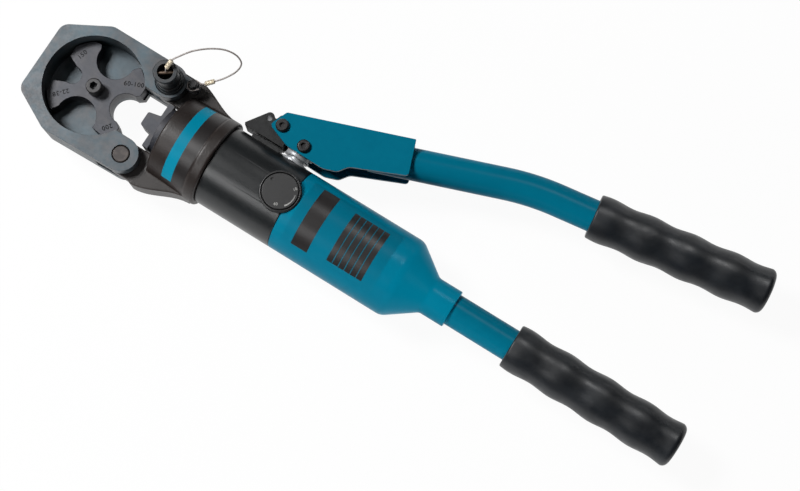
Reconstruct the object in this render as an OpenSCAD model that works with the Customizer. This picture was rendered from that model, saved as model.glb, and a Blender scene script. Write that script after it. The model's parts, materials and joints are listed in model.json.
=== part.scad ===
// Hand pumped hydraulic crimping tool, lying flat.
// The tool's own datum is the die turret's axis where it meets the ram axis.
// x runs along the ram axis towards the fixed handle, y towards the pump lever, z up.

/* [Jaw] */
// Width across the flanks of the jaw frame
jaw_w = 84; // [82:0.5:88]
// Thickness of the jaw frame
jaw_t = 28; // [27:0.5:31]
// Turret axis to the flat nose of the jaw frame
jaw_nose = 42; // [41:0.5:48]
// Width of the flat nose
jaw_nose_w = 50; // [44:1:58]
// How much further out the lower flank stands at its front end
jaw_low = 1.4; // [0:0.2:2]
// How far the straight flanks run ahead of the turret axis
jaw_flank = 11; // [7:1:15]
// Rounding of the nose corners
jaw_corner_r = 8; // [2:0.5:9]
// Diameter of the round pocket that holds the turret
pocket_d = 70; // [66:0.5:71]
// Thickness of the pocket floor
pocket_floor_t = 6; // [5:0.25:6.5]
// Distance of the hinge pin and of the lock pin from the ram axis
pin_offset = 30; // [29.6:0.1:30.5]
// Distance of both pins behind the turret axis
pin_reach = 42.5; // [41.5:0.25:43]
// Diameter of the hinge pin
hinge_pin_d = 12.5; // [10:0.5:14]
// Diameter of the lock pin
lock_pin_d = 15.5; // [13:0.25:16]
// Height of the lock pin's top above the jaw face when it is drawn
lock_pin_rise = 22; // [21:0.25:24]
// Travel of the lock pin from drawn to home
lock_travel = 11; // [10.5:0.1:11.5]
// Diameter of the lock bush flange
lock_bush_d = 20.5; // [20.25:0.25:24]

/* [Turret] */
// Thickness of the die turret
turret_t = 11.25; // [10.5:0.25:12]
// Diameter of the shoulder that the turret turns on
turret_shoulder_d = 8; // [7:0.25:9]
// Head diameter of the turret screw
turret_head_d = 11; // [9.5:0.25:13]
// Head height of the turret screw
turret_head_h = 9; // [7:0.25:9.5]

/* [Yoke] */
// Thickness of the two tongues that the jaw's forks straddle
tongue_t = 10; // [8:0.25:10.5]
// Diameter of the barrel
barrel_d = 60; // [57:0.5:61]
// Diameter of the rear collar
collar_d = 64; // [63:0.5:68]
// Length of the rear collar
collar_len = 8.5; // [7:0.5:11]
// Turret axis to the front of the barrel
barrel_front = 61; // [60.5:0.25:63]
// Length of the barrel with its collar
barrel_len = 38.5; // [38:0.5:42]

/* [Ram] */
// Diameter of the ram rod
ram_d = 30; // [27:0.5:31]
// Diameter of the ram head
ram_head_d = 34; // [32:0.25:34.5]
// Thickness of the ram head
ram_head_t = 4.5; // [4:0.25:5]
// Diameter of the cylinder bore
bore_d = 42; // [40:0.5:42.5]
// Length of the piston
piston_len = 13; // [11:0.5:14]
// Working stroke of the ram
ram_stroke = 16.5; // [14:0.25:17]
// Thickness of the indenter's back plate
indenter_plate_t = 4.4; // [4:0.1:4.8]
// Length of the indenter's nose
indenter_len = 9; // [7:0.25:9.5]
// Width of the indenter's tip
indenter_tip_w = 10; // [7:0.5:11]
// Width of the indenter's nose at its root
indenter_root_w = 13.8; // [12:0.2:15]
// Height of the indenter
indenter_h = 18; // [15:0.5:20]

/* [Pump body] */
// Diameter of the pump body and the reservoir
body_d = 58; // [57.5:0.25:60]
// Length of the pump body that shows
body_len = 59; // [58:0.5:64]
// Diameter of the setting dial
dial_d = 25.2; // [24:0.2:27]
// Width of the rim round the dial
dial_rim_w = 1.4; // [1:0.1:1.8]
// Distance of the dial behind the front of the pump body
dial_place = 51; // [49:0.5:53]
// Offset of the dial towards the lever
dial_offset = 2.8; // [0:0.1:3]
// Diameter of the pump plunger
plunger_d = 12; // [10:0.25:13]
// Diameter of the plunger's head
plunger_head_d = 18.6; // [17:0.2:19]
// Distance of the plunger behind the front of the pump body
plunger_place = 43; // [42.75:0.25:44.5]

/* [Reservoir and handle] */
// Length of the reservoir's straight part
reservoir_len = 89; // [78:1:110]
// Wall of the reservoir sleeve
reservoir_wall = 2.5; // [2:0.1:2.8]
// Length of the cone behind it
cone_len = 21.5; // [20:0.5:34]
// Diameter of the collar that holds the handle tube
tube_collar_d = 27; // [26.5:0.5:32]
// Length of that collar
tube_collar_len = 18; // [14:0.5:24]
// Diameter of the handle tubes
tube_d = 22.5; // [21:0.25:23]
// Wall of the handle tubes
tube_wall = 2.2; // [1.5:0.1:3]
// Length of the handle tube that shows ahead of the grip
tube_show = 46; // [40:1:70]
// Length of a grip
grip_len = 127.8; // [115:0.2:150]
// Largest diameter of a grip
grip_d = 32.4; // [30:0.2:38]
// Depth of the finger waists, on the diameter
grip_waist = 2.3; // [1:0.1:3]
// Distance from one finger waist to the next
grip_pitch = 30.2; // [26:0.1:32]

/* [Lever] */
// Angle of the lever to the ram axis in the open rest position
lever_angle = 19.8; // [19:0.1:21]
// Pivot pin behind the front of the pump body
pivot_place = 25; // [24.5:0.1:25.1]
// Pivot pin from the ram axis
pivot_height = 44; // [43.75:0.05:44.5]
// Pivot pin to plunger pin, along the lever
crank_len = 17.3; // [17:0.1:17.8]
// Plunger pin below the pivot, square to the lever
crank_drop = 11; // [10.8:0.05:11.2]
// Shank diameter of the two lever pins
lever_pin_d = 7; // [6:0.25:7.5]
// Length of the lever channel behind its pivot
channel_len = 90.5; // [82:0.5:110]
// Height of the channel's back above the pivot
channel_top = 9.8; // [9.5:0.1:11]
// Sheet thickness of the channel
channel_wall = 2.8; // [2:0.1:3]
// Pivot to the deepest point of the channel's cheeks
belly_reach = 38; // [37:0.5:39]
// Depth of the cheeks there, below the pivot
belly_drop = 23.2; // [22.6:0.2:24]
// Pivot to the middle of the lever tube's bend
bend_reach = 174.5; // [150:0.5:200]
// Angle of the bend
bend_angle = 12.2; // [8:0.2:16]
// Radius of the bend at the tube's middle
bend_r = 180; // [120:5:240]
// Bend's middle to the start of the lever grip
grip_gap = 45; // [38:0.5:60]

/* [Release trigger] */
// Thickness of the trigger across its cheeks
trigger_t = 17.6; // [16:0.2:18.4]
// Thickness of the pump lug between them
lug_t = 8; // [6:0.25:9]
// Pivot to the tip of the trigger's nose
trigger_nose = 24; // [22:0.25:24.25]
// Diameter of the lanyard hole
lanyard_d = 3.8; // [3:0.1:4]

/* [Tether] */
// Diameter of the tether wire
tether_d = 1.2; // [1:0.1:1.4]
// Diameter of the crimped ferrules
ferrule_d = 3.4; // [3.2:0.1:4]
// Length of the crimped ferrules
ferrule_len = 7; // [5:0.25:7.5]

/* [Hidden] */
$fn = 64;

// Running fit of a pin or shaft
run_gap = 0.05;
// Gap between pieces that move past each other
move_gap = 0.3;
// Gap round a fixed piece in its seat
seat_gap = 0.1;
// Overrun of a cut past the face it opens through
over = 1;
// Small chamfer and larger chamfer
bevel = 0.6;
edge = 1;

// Jaw
face_z = jaw_t / 2;
flank_y = jaw_w / 2;
lug_r = flank_y - pin_offset;
mouth_half = pin_offset - lug_r;
pocket_r = pocket_d / 2;
floor_z = pocket_floor_t - face_z;
floor_trim = 0.5;
floor_edge = sqrt(pocket_r * pocket_r - mouth_half * mouth_half) - floor_trim;
flank_corner_r = 9;
nose_low = jaw_nose_w / 2 + 2 * jaw_low;
fork_half = tongue_t / 2 + move_gap;
fork_clear = 2.5;
fork_start = pin_reach - lug_r - fork_clear;
tongue_r = lug_r - move_gap;

// Turret: nest radius and nest distance as shares of the turret radius, nest angle, two mouth angles
nest_shares = [
  [0.318, 0.729, -2, -27.7, 24],
  [0.390, 0.712, 89, 60, 116],
  [0.183, 0.570, 179.5, 159.4, 199.3],
  [0.410, 0.679, 267, 236.8, 312]
];
rim_share = 3;
flare_share = 0.96;
flat_share = 0.84;
turret_gap = 1;
turret_r = pocket_r - turret_gap;
turret_low = floor_z + move_gap;
turret_high = turret_low + turret_t;
turret_screw_d = 0.75 * turret_shoulder_d;
turret_key = 0.5 * turret_head_d;
key_depth = 4.5;
index_d = 3;
index_rise = 0.8;
index_wall = 1.2;
index_body_d = 4;
index_place = (turret_shoulder_d + index_d) / 2 + index_wall;
index_angle = 135;

// Lock pin and tether post
lock_top = face_z + lock_pin_rise;
lock_lift = 0.6;
lock_nose = tongue_t / 2 + lock_lift;
lock_head_h = 5.5;
lock_head_rim = 0.7;
lock_head_d = lock_pin_d + 2 * lock_head_rim;
lock_wall = 2.3;
lock_hollow_d = lock_pin_d - 2 * lock_wall;
lock_hollow_depth = 14;
bush_flange_h = 1.5;
bush_wall = 1.2;
bush_h = lock_pin_rise - lock_head_h - lock_travel - move_gap;
bush_d = lock_pin_d + 2 * bush_wall;
cross_bar_d = 2.4;
cross_bar_drop = 3;
cross_bar_angle = 35;
post_reach = 16;
post_side = 5.5;
post_at = [pin_reach + post_reach, pin_offset + post_side];
post_d = 6.4;
post_shank_d = 3;
post_neck_d = 4;
post_neck_h = 4.4;
post_cap_h = 2;
tab_rim = 0.6;
tab_r = post_d / 2 + tab_rim;

// Yoke
yoke_rear = barrel_front + barrel_len;
barrel_rise = 1.3;
shoulder_gap = 1;
hinge_shoulder = pin_reach + lug_r + shoulder_gap;
lock_shoulder = post_at.x + tab_r + shoulder_gap;
flare_run = 4;
flare_end = yoke_rear - collar_len + flare_run;
flare_inset = 0.5;
flare_half = collar_d / 2 - flare_inset;
flare_steps = 16;
shoulder_over = 1;
shoulder_half = flank_y + shoulder_over;
guide_len = 12;
wiper_len = 5;
wiper_place = 3;
wiper_w = 3;
neck_len = 17.5;
neck_wall = 4.5;
neck_d = barrel_d - 2 * neck_wall;

// Ram
head_gap = 2.3;
head_rear = barrel_front - head_gap;
head_front = head_rear - ram_head_t;
plate_front = head_front - indenter_plate_t;
tip_x = plate_front - indenter_len;
tip_r = 1.5;
spring_wire = 3;
spring_curls = 5;
spring_r = (ram_d + bore_d) / 4;
spring_start = barrel_front + guide_len;
spring_slack = 1;
cylinder_end = spring_start + spring_curls * spring_wire + spring_slack + ram_stroke + piston_len + move_gap;
piston_rear = cylinder_end - move_gap;
piston_front = piston_rear - piston_len;
seal_len = 4;
seal_depth = 2;
indenter_screw_d = 4;
indenter_screw_head_d = 7;
indenter_screw_head_h = 2.6;
indenter_screw_depth = 3.5;
indenter_screw_key = 2.5;
indenter_screw_y = (indenter_root_w + ram_head_d) / 4;

// Pump body
body_r = body_d / 2;
body_front = yoke_rear;
body_rear = body_front + body_len;
spigot_len = 14;
spigot_d = body_d - 2 * reservoir_wall - 2 * seat_gap;
spigot_rear = body_rear + spigot_len;
boss_len = 9;
boss_d = 37.4;
dial_x = body_front + dial_place;
dial_seat_d = dial_d + 2 * dial_rim_w + 2 * move_gap;
dial_sink = 1.7;
dial_seat_z = body_r - dial_sink;
dial_rim_h = 2.9;
dial_t = 2.8;
dial_stem_d = 6;
dial_dot_d = 2;
dial_dot_depth = 0.8;
dial_dot_share = 0.77;
dial_dot_turn = 65;
dial_slot_w = 2.2;
relief_d = 10;
relief_cover = 2.6;
relief_top = dial_seat_z - relief_cover;
relief_len = 16;
relief_slot_w = 1.6;
plunger_x = body_front + plunger_place;
pump_low = 3;
pump_inset = 1.5;
pump_face = body_r - pump_inset;
spot_margin = 1.6;
gland_h = 1.7;
gland_rim = 0.8;
gland_d = plunger_head_d + 2 * gland_rim;
spot_d = gland_d + 2 * spot_margin;
plunger_free = 2.1;
plunger_head_low = pump_face + gland_h + plunger_free;
plunger_head_h = 5.2;
pump_dead = 4.2;
plunger_low = pump_low + pump_dead;
pump_seal_w = 2;
pump_seal_len = 2.4;
pump_seal_depth = 6;
pump_seal_y = pump_face - pump_seal_depth;
channel_lift = 1.6;
oilway_y = pump_low + channel_lift;
oilway_d = 3;
valve_d = 7.2;
valve_len = 8;
valve_ball_d = 6;
valve_wire = 0.6;
valve_curls = 3;
valve_wall = 3;
delivery_x = cylinder_end + valve_wall;
suction_x = body_rear;
ball_seat = sqrt(valve_ball_d * valve_ball_d - oilway_d * oilway_d) / 2 + seat_gap;

// Reservoir and handle
reservoir_rear = body_rear + reservoir_len;
cone_rear = reservoir_rear + cone_len;
collar_rear = cone_rear + tube_collar_len;
cone_round = 8;
grip_x = collar_rear + tube_show;
tube_lap = 4;
tube_front = cone_rear - tube_lap;
tube_inset = 8;
bladder_wall = 2.5;
bladder_d = boss_d + 2 * bladder_wall + 2 * seat_gap;
bladder_len = 58;
bladder_end_r = 10;
band_place = 2.5;
band_len = 5;
band_t = 1.4;
grip_first = 23.2;
grip_flange = grip_first - grip_pitch / 2;
grip_end_r = 5;
grip_end_t = 5;
grip_steps = 44;

// Lever
pivot_x = body_front + pivot_place;
pivot_y = pivot_height;
channel_half = tube_d / 2 + seat_gap;
cheek_z = channel_half + channel_wall;
tube_drop = tube_d / 2 + seat_gap - channel_top + channel_wall;
channel_low = tube_drop + tube_d / 2 + move_gap;
channel_front = 8.5;
channel_chin = 0.8;
channel_brow = 1;
toe_reach = 6;
toe_drop = 13;
heel_reach = 50;
heel_drop = 18.4;
belly_half = 5;
channel_corner = 2.5;
toe_round = 12;
belly_round = 6;
heel_round = 8;
spine_front = 8;
lever_tube_front = 62;
bend_len = bend_r * tan(bend_angle / 2);
bend_steps = 8;
tube_sides = 40;
pin_head_d = 9.2;
pin_head_h = 2.6;
pin_key = 4;
pin_key_depth = 1.6;
pin_tail = 1;
clip_t = 1.2;
clip_w = 1.8;
eye_half = 7.5;
eye_t = 16;
eye_play = 0.9;
eye_gap = 0.35;
eye_wall = 2.8;
eye_round = 3;
plunger_pin_at = [
  pivot_x + crank_len * cos(lever_angle) + crank_drop * sin(lever_angle),
  pivot_y + crank_len * sin(lever_angle) - crank_drop * cos(lever_angle)
];

// Release trigger and pump lug
lug_sink = 3.5;
lug_face = body_r - lug_sink;
lug_base_h = 5;
lug_top = lug_face + lug_base_h;
lug_base_rear = 7;
lug_base_front = 15;
lug_boss_r = 6.5;
trigger_clear = 1.5;
trigger_low = lug_top + trigger_clear;
trigger_slot = 8.5;
trigger_tip_h = 1.7;
trigger_apex = [-12.2, 6.6];
trigger_apex_r = 3.2;
trigger_saddle = [-7.2, 2.2];
trigger_boss = 5.5;
trigger_top = 7.2;
trigger_heel = 7;
lanyard_at = [-11.3, 0.9];
release_arm = 10.5;
release_x = pivot_x - release_arm;
release_d = 3;
release_collar_d = 5.8;
release_collar_t = 0.6;
release_sink = 3;
release_chamber_d = 6.4;
release_chamber_h = 4;
release_wire = 0.6;
release_curls = 3;

// Tether route from the lock pin's cross bar to the loop round the post:
// places across the jaw face from the lock pin's axis, and heights as shares of the lock pin's rise
tether_plan = [
  [0.0, 0.4], [-0.3, 2.0], [0.4, 5.0], [1.1, 8.0], [4.6, 12.9], [9.5, 19.3], [15.4, 24.8],
  [21.0, 29.0], [26.6, 32.2], [31.9, 33.8], [36.2, 33.9], [39.3, 32.3], [39.6, 29.6],
  [38.1, 25.8], [35.1, 21.7], [31.5, 17.7], [25.6, 12.2], [22.4, 9.6], [20.2, 8.9],
  [18.0, 9.1], [15.0, 9.0], [12.6, 7.2], [12.2, 4.6], [13.7, 2.4], [16.3, 1.7],
  [18.9, 2.9], [20.7, 4.9]
];
tether_rise_shares = [
  0.955, 1.055, 1.155, 1.255, 1.33, 1.364, 1.364,
  1.327, 1.255, 1.155, 1.027, 0.89, 0.764,
  0.636, 0.51, 0.4, 0.3, 0.218, 0.145,
  0.105, 0.095, 0.095, 0.095, 0.095, 0.105,
  0.127, 0.159
];
tether_path = [for (i = [0:len(tether_plan) - 1])
  [pin_reach + tether_plan[i].x, pin_offset + tether_plan[i].y,
   face_z + tether_rise_shares[i] * lock_pin_rise]];
tether_sides = 8;
ferrule_spots = [2, 16];
ferrule_gap = 0.5;

// The finished frame: middle of the part's footprint, on the surface that it lies on
grip_end_x = grip_x + grip_len;
grip_run = grip_gap + grip_len;
lever_end_x = bend_reach + grip_run * cos(bend_angle);
lever_end_drop = tube_drop + grip_run * sin(bend_angle);
high_y = pivot_y + lever_end_x * sin(lever_angle) - lever_end_drop * cos(lever_angle) + grip_d / 2;
datum = [(grip_end_x - jaw_nose) / 2, (high_y - shoulder_half) / 2, -collar_d / 2];
module placed() translate(-datum) children();

// Rounded outlines: each corner of a polygon becomes an arc of its own radius
function unit(v) = v / norm(v);
function turn(a) = a > 180 ? a - 360 : a < -180 ? a + 360 : a;
function corner_arc(a, c, b, r, n = 6) =
  r == 0 ? [c] :
  let (u = unit(a - c), w = unit(b - c), half = acos(u * w) / 2)
  let (m = c + unit(u + w) * r / sin(half))
  let (s = c + u * r / tan(half) - m, e = c + w * r / tan(half) - m)
  let (from = atan2(s.y, s.x), run = turn(atan2(e.y, e.x) - atan2(s.y, s.x)))
  [for (i = [0:n]) m + r * [cos(from + run * i / n), sin(from + run * i / n)]];
function rounded(pts, radii) =
  [for (i = [0:len(pts) - 1]) each corner_arc(
    pts[(i + len(pts) - 1) % len(pts)], pts[i], pts[(i + 1) % len(pts)], radii[i])];

// Tubes and coils: rings of points square to a path, joined by triangles
function tangent(path, i) = unit(path[min(i + 1, len(path) - 1)] - path[max(i - 1, 0)]);
function side_of(t) = unit(cross(t, abs(t.z) > 0.9 ? [1, 0, 0] : [0, 0, 1]));
function ring(path, i, r, sides) =
  let (t = tangent(path, i), u = side_of(t), w = cross(t, u))
  [for (k = [0:sides - 1]) path[i] + r * (cos(360 * k / sides) * u + sin(360 * k / sides) * w)];
module swept(path, r, sides) {
  n = len(path);
  points = [for (i = [0:n - 1]) each ring(path, i, r, sides)];
  walls = [for (i = [0:n - 2], k = [0:sides - 1])
    let (a = i * sides + k, b = i * sides + (k + 1) % sides)
    each [[a, a + sides, b + sides], [a, b + sides, b]]];
  top = (n - 1) * sides;
  first = [for (k = [1:sides - 2]) [0, k, k + 1]];
  last = [for (k = [1:sides - 2]) [top, top + k + 1, top + k]];
  polyhedron(points, concat(first, walls, last));
}
module swept_pipe(path, r_out, r_in, sides) {
  n = len(path);
  rings = [for (r = [r_out, r_in], i = [0:n - 1]) each ring(path, i, r, sides)];
  skin = [for (i = [0:n - 2], k = [0:sides - 1])
    let (a = i * sides + k, b = i * sides + (k + 1) % sides, in = n * sides)
    each [[a, a + sides, b + sides], [a, b + sides, b],
          [in + a, in + b, in + b + sides], [in + a, in + b + sides, in + a + sides]]];
  caps = [for (k = [0:sides - 1])
    let (m = (k + 1) % sides, top = (n - 1) * sides, in = n * sides)
    each [[k, m, in + m], [k, in + m, in + k],
          [top + k, in + top + m, top + m], [top + k, in + top + k, in + top + m]]];
  polyhedron(rings, concat(skin, caps));
}
function coil_path(r, h, curls, steps = 8) =
  [for (i = [0:curls * steps])
    [r * cos(360 * i / steps), r * sin(360 * i / steps), h * i / (curls * steps)]];
module coil(r, h, curls, wire)
  translate([0, 0, wire / 2]) swept(coil_path(r, h - wire, curls), wire / 2, 6);
function least_gap(path, wire, steps = 8) =
  min([for (i = [0:len(path) - 1], j = [0:len(path) - 1])
    if (j - i > steps / 2) norm(path[j] - path[i]) - wire]);

// Shapes that repeat
module rod_x(x, len, d) translate([x, 0, 0]) rotate([0, 90, 0]) cylinder(h = len, d = d);
module rod_y(x, y, len, d) translate([x, y, 0]) rotate([-90, 0, 0]) cylinder(h = len, d = d);
module rod_z(x, y, z, len, d) translate([x, y, z]) cylinder(h = len, d = d);
module spun_x(x, profile) translate([x, 0, 0]) rotate([0, 90, 0]) rotate_extrude() polygon(profile);
module spun_z(x, y, profile) translate([x, y, 0]) rotate_extrude() polygon(profile);
module slab(z, t) translate([0, 0, z]) linear_extrude(t) children();
module through_jaw(x, y, d) rod_z(x, y, -face_z - over, jaw_t + 2 * over, d);
module lever_frame() translate([pivot_x, pivot_y, 0]) rotate([0, 0, lever_angle]) children();
module grip_frame()
  lever_frame() translate([bend_reach, -tube_drop, 0]) rotate([0, 0, -bend_angle]) children();

// Jaw frame with its round pocket, through mouth and two forks
module jaw_outline() {
  polygon(rounded(
    [[-jaw_nose, -nose_low], [-jaw_nose, jaw_nose_w / 2], [-jaw_flank, flank_y],
     [pin_reach, flank_y], [pin_reach, -flank_y], [-jaw_flank - jaw_low, -flank_y - jaw_low]],
    [jaw_corner_r, jaw_corner_r, flank_corner_r, 0, 0, flank_corner_r]));
  for (side = [-1, 1]) translate([pin_reach, side * pin_offset]) circle(r = lug_r);
}
module post_tab() {
  translate(post_at) circle(r = tab_r);
  translate([pin_reach, post_at.y - tab_r]) square([post_reach, 2 * tab_r]);
}
function nest_side(share, side, grow) =
  let (a = share[2], r = flare_share * (turret_r * share[0] + grow))
  turret_r * share[1] * [cos(a), sin(a)] + side * r * [-sin(a), cos(a)];
function nest_lip(share, side, grow) =
  let (b = side < 0 ? share[3] : share[4], p = nest_side(share, side, grow))
  p + rim_share * (turret_r * [cos(b), sin(b)] + side * grow * [-sin(b), cos(b)] - p);
module nest(share, grow) {
  translate(turret_r * share[1] * [cos(share[2]), sin(share[2])]) circle(r = turret_r * share[0] + grow);
  polygon([nest_side(share, -1, grow), nest_lip(share, -1, grow),
           nest_lip(share, 1, grow), nest_side(share, 1, grow)]);
}
module jaw_frame() placed() color("SlateGray") difference() {
  union() {
    slab(-face_z, jaw_t) jaw_outline();
    slab(fork_half, face_z - fork_half) post_tab();
  }
  rod_z(0, 0, floor_z, jaw_t, pocket_d);
  slab(-face_z - over, jaw_t + 2 * over) {
    translate([floor_edge, -mouth_half]) square([jaw_w, 2 * mouth_half]);
    intersection() {
      nest(nest_shares[0], move_gap);
      circle(r = pocket_r - floor_trim);
    }
  }
  for (side = [-1, 1])
    translate([fork_start, side * pin_offset - lug_r - jaw_low - over, -fork_half])
      cube([jaw_w, 2 * lug_r + jaw_low + 2 * over, 2 * fork_half]);
  through_jaw(pin_reach, -pin_offset, hinge_pin_d + 2 * run_gap);
  through_jaw(pin_reach, pin_offset, lock_pin_d + 2 * run_gap);
  through_jaw(0, 0, turret_screw_d + 2 * run_gap);
  rotate([0, 0, index_angle]) through_jaw(index_place, 0, index_body_d + 2 * run_gap);
  rod_z(post_at.x, post_at.y, fork_half - over, face_z, post_shank_d + 2 * run_gap);
}

// Die turret with four nests, turning on the shoulder of its screw
module die_turret() placed() color("DimGray") difference() {
  slab(turret_low, turret_t) intersection() {
    circle(r = turret_r);
    square(2 * flat_share * turret_r, center = true);
  }
  slab(turret_low - over, turret_t + 2 * over) for (share = nest_shares) nest(share, 0);
  rod_z(0, 0, turret_low - over, turret_t + 2 * over, turret_shoulder_d + 2 * run_gap);
  difference() {
    rod_z(0, 0, turret_low - over, over + index_rise, 2 * index_place + index_d);
    rod_z(0, 0, turret_low - 2 * over, 4 * over + index_rise, 2 * index_place - index_d);
  }
}
module turret_screw() placed() color("Black") difference() {
  head_low = turret_high + move_gap;
  head_high = head_low + turret_head_h;
  spun_z(0, 0, [
    [0, bevel - face_z], [turret_screw_d / 2, bevel - face_z], [turret_screw_d / 2, floor_z],
    [turret_shoulder_d / 2, floor_z], [turret_shoulder_d / 2, head_low], [turret_head_d / 2, head_low],
    [turret_head_d / 2, head_high - bevel], [turret_head_d / 2 - bevel, head_high], [0, head_high]]);
  translate([0, 0, head_high - key_depth]) cylinder(h = key_depth + over, d = turret_key, $fn = 6);
}
module index_plunger() placed() color("Gray") rotate([0, 0, index_angle]) union() {
  rod_z(index_place, 0, bevel - face_z, floor_z - 2 * bevel + face_z, index_body_d);
  translate([index_place, 0, floor_z + index_rise - index_d / 2]) sphere(d = index_d);
}

// Hinge pin and its clip
module hinge_pin() placed() color("Gray") {
  low = -face_z - move_gap - clip_t - pin_tail;
  r = hinge_pin_d / 2;
  spun_z(pin_reach, -pin_offset, [
    [0, low], [r - bevel, low], [r, low + bevel], [r, face_z - edge], [r - edge, face_z], [0, face_z]]);
}
module hinge_clip() placed() color("Black") translate([pin_reach, -pin_offset, -face_z - move_gap - clip_t])
  difference() {
    cylinder(h = clip_t, d = hinge_pin_d + 2 * run_gap + 2 * clip_w);
    translate([0, 0, -over]) cylinder(h = clip_t + 2 * over, d = hinge_pin_d + 2 * run_gap);
    translate([0, -clip_w, -over]) cube([hinge_pin_d, 2 * clip_w, clip_t + 2 * over]);
  }

// Lock pin in its bush, cross bar for the tether
module lock_bush() placed() color("DarkSlateGray") spun_z(pin_reach, pin_offset, [
  [lock_pin_d / 2 + run_gap, face_z], [lock_bush_d / 2, face_z],
  [lock_bush_d / 2, face_z + bush_flange_h - edge], [lock_bush_d / 2 - edge, face_z + bush_flange_h],
  [bush_d / 2, face_z + bush_flange_h], [bush_d / 2, face_z + bush_h - bevel],
  [bush_d / 2 - bevel, face_z + bush_h], [lock_pin_d / 2 + run_gap, face_z + bush_h]]);
module cross_bar(d) translate([pin_reach, pin_offset, lock_top - cross_bar_drop])
  rotate([0, 0, cross_bar_angle]) rotate([0, 90, 0])
    translate([0, 0, bevel - lock_head_d / 2]) cylinder(h = lock_head_d - 2 * bevel, d = d);
module lock_pin() placed() color("DimGray") difference() {
  head_low = lock_top - lock_head_h;
  spun_z(pin_reach, pin_offset, [
    [0, lock_nose], [lock_pin_d / 2 - edge, lock_nose], [lock_pin_d / 2, lock_nose + edge],
    [lock_pin_d / 2, head_low], [lock_head_d / 2, head_low], [lock_head_d / 2, lock_top - bevel],
    [lock_head_d / 2 - bevel, lock_top], [lock_hollow_d / 2, lock_top],
    [lock_hollow_d / 2, lock_top - lock_hollow_depth], [0, lock_top - lock_hollow_depth]]);
  translate([pin_reach, pin_offset, lock_top - cross_bar_drop]) rotate([0, 0, cross_bar_angle])
    rotate([0, 90, 0]) translate([0, 0, -lock_head_d])
      cylinder(h = 2 * lock_head_d, d = cross_bar_d + 2 * run_gap);
}
module lock_cross_bar() placed() color("Silver") cross_bar(cross_bar_d);

// Tether: wire, two ferrules and the post with its neck
module tether_wire() placed() color("Silver") swept(tether_path, tether_d / 2, tether_sides);
module along(path, i) {
  t = tangent(path, i);
  translate(path[i]) rotate([0, acos(t.z), atan2(t.y, t.x)]) children();
}
module tether_ferrules() placed() color("Goldenrod") for (i = ferrule_spots)
  along(tether_path, i) translate([0, 0, -ferrule_len / 2]) difference() {
    cylinder(h = ferrule_len, d = ferrule_d);
    translate([0, 0, -over]) cylinder(h = ferrule_len + 2 * over, d = tether_d + 2 * ferrule_gap);
  }
module tether_post() placed() color("Black") {
  low = fork_half + bevel;
  cap = face_z + post_neck_h;
  spun_z(post_at.x, post_at.y, [
    [0, low], [post_shank_d / 2, low], [post_shank_d / 2, face_z], [post_neck_d / 2, face_z],
    [post_neck_d / 2, cap], [post_d / 2, cap], [post_d / 2, cap + post_cap_h - bevel],
    [post_d / 2 - bevel, cap + post_cap_h], [0, cap + post_cap_h]]);
}

// Yoke: tongues, flared shoulders, barrel and collar
function flare(x) = flare_half + (shoulder_half - flare_half)
  * (1 + cos(180 * (x - hinge_shoulder) / (flare_end - hinge_shoulder))) / 2;
module shoulder(side, start) polygon(concat(
  [for (i = [0:flare_steps]) let (x = start + (flare_end - start) * i / flare_steps) [x, side * flare(x)]],
  [[flare_end, 0], [barrel_front + edge, 0], [barrel_front + edge, side * (pin_offset - tongue_r)],
   [start, side * (pin_offset - tongue_r)]]));
module yoke() placed() color("DarkSlateGray") difference() {
  union() {
    spun_x(barrel_front, [
      [0, 0], [barrel_d / 2 - edge, 0], [barrel_d / 2, edge],
      [barrel_d / 2 + barrel_rise, barrel_len - collar_len], [collar_d / 2, barrel_len - collar_len + edge],
      [collar_d / 2, barrel_len - edge], [collar_d / 2 - edge, barrel_len], [0, barrel_len]]);
    slab(-face_z, face_z + tongue_t / 2) {
      shoulder(-1, hinge_shoulder);
      shoulder(1, lock_shoulder);
    }
    slab(-tongue_t / 2, tongue_t) for (side = [-1, 1]) {
      translate([pin_reach, side * pin_offset]) circle(r = tongue_r);
      translate([pin_reach, side * pin_offset - tongue_r])
        square([lock_shoulder - pin_reach + edge, 2 * tongue_r]);
    }
  }
  rod_x(barrel_front - over, barrel_len, ram_d + 2 * run_gap);
  rod_x(barrel_front + wiper_place, wiper_len, ram_d + 2 * wiper_w);
  rod_x(spring_start, barrel_len, bore_d + 2 * run_gap);
  rod_x(yoke_rear - neck_len, neck_len + over, neck_d + 2 * run_gap);
  through_jaw(pin_reach, -pin_offset, hinge_pin_d + 2 * run_gap);
  through_jaw(pin_reach, pin_offset, lock_pin_d + 2 * run_gap);
}
module rod_wiper() placed() color("Black") difference() {
  rod_x(barrel_front + wiper_place + run_gap, wiper_len - 2 * run_gap, ram_d + 2 * wiper_w - 2 * run_gap);
  rod_x(barrel_front, barrel_len, ram_d + 2 * run_gap);
}

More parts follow.
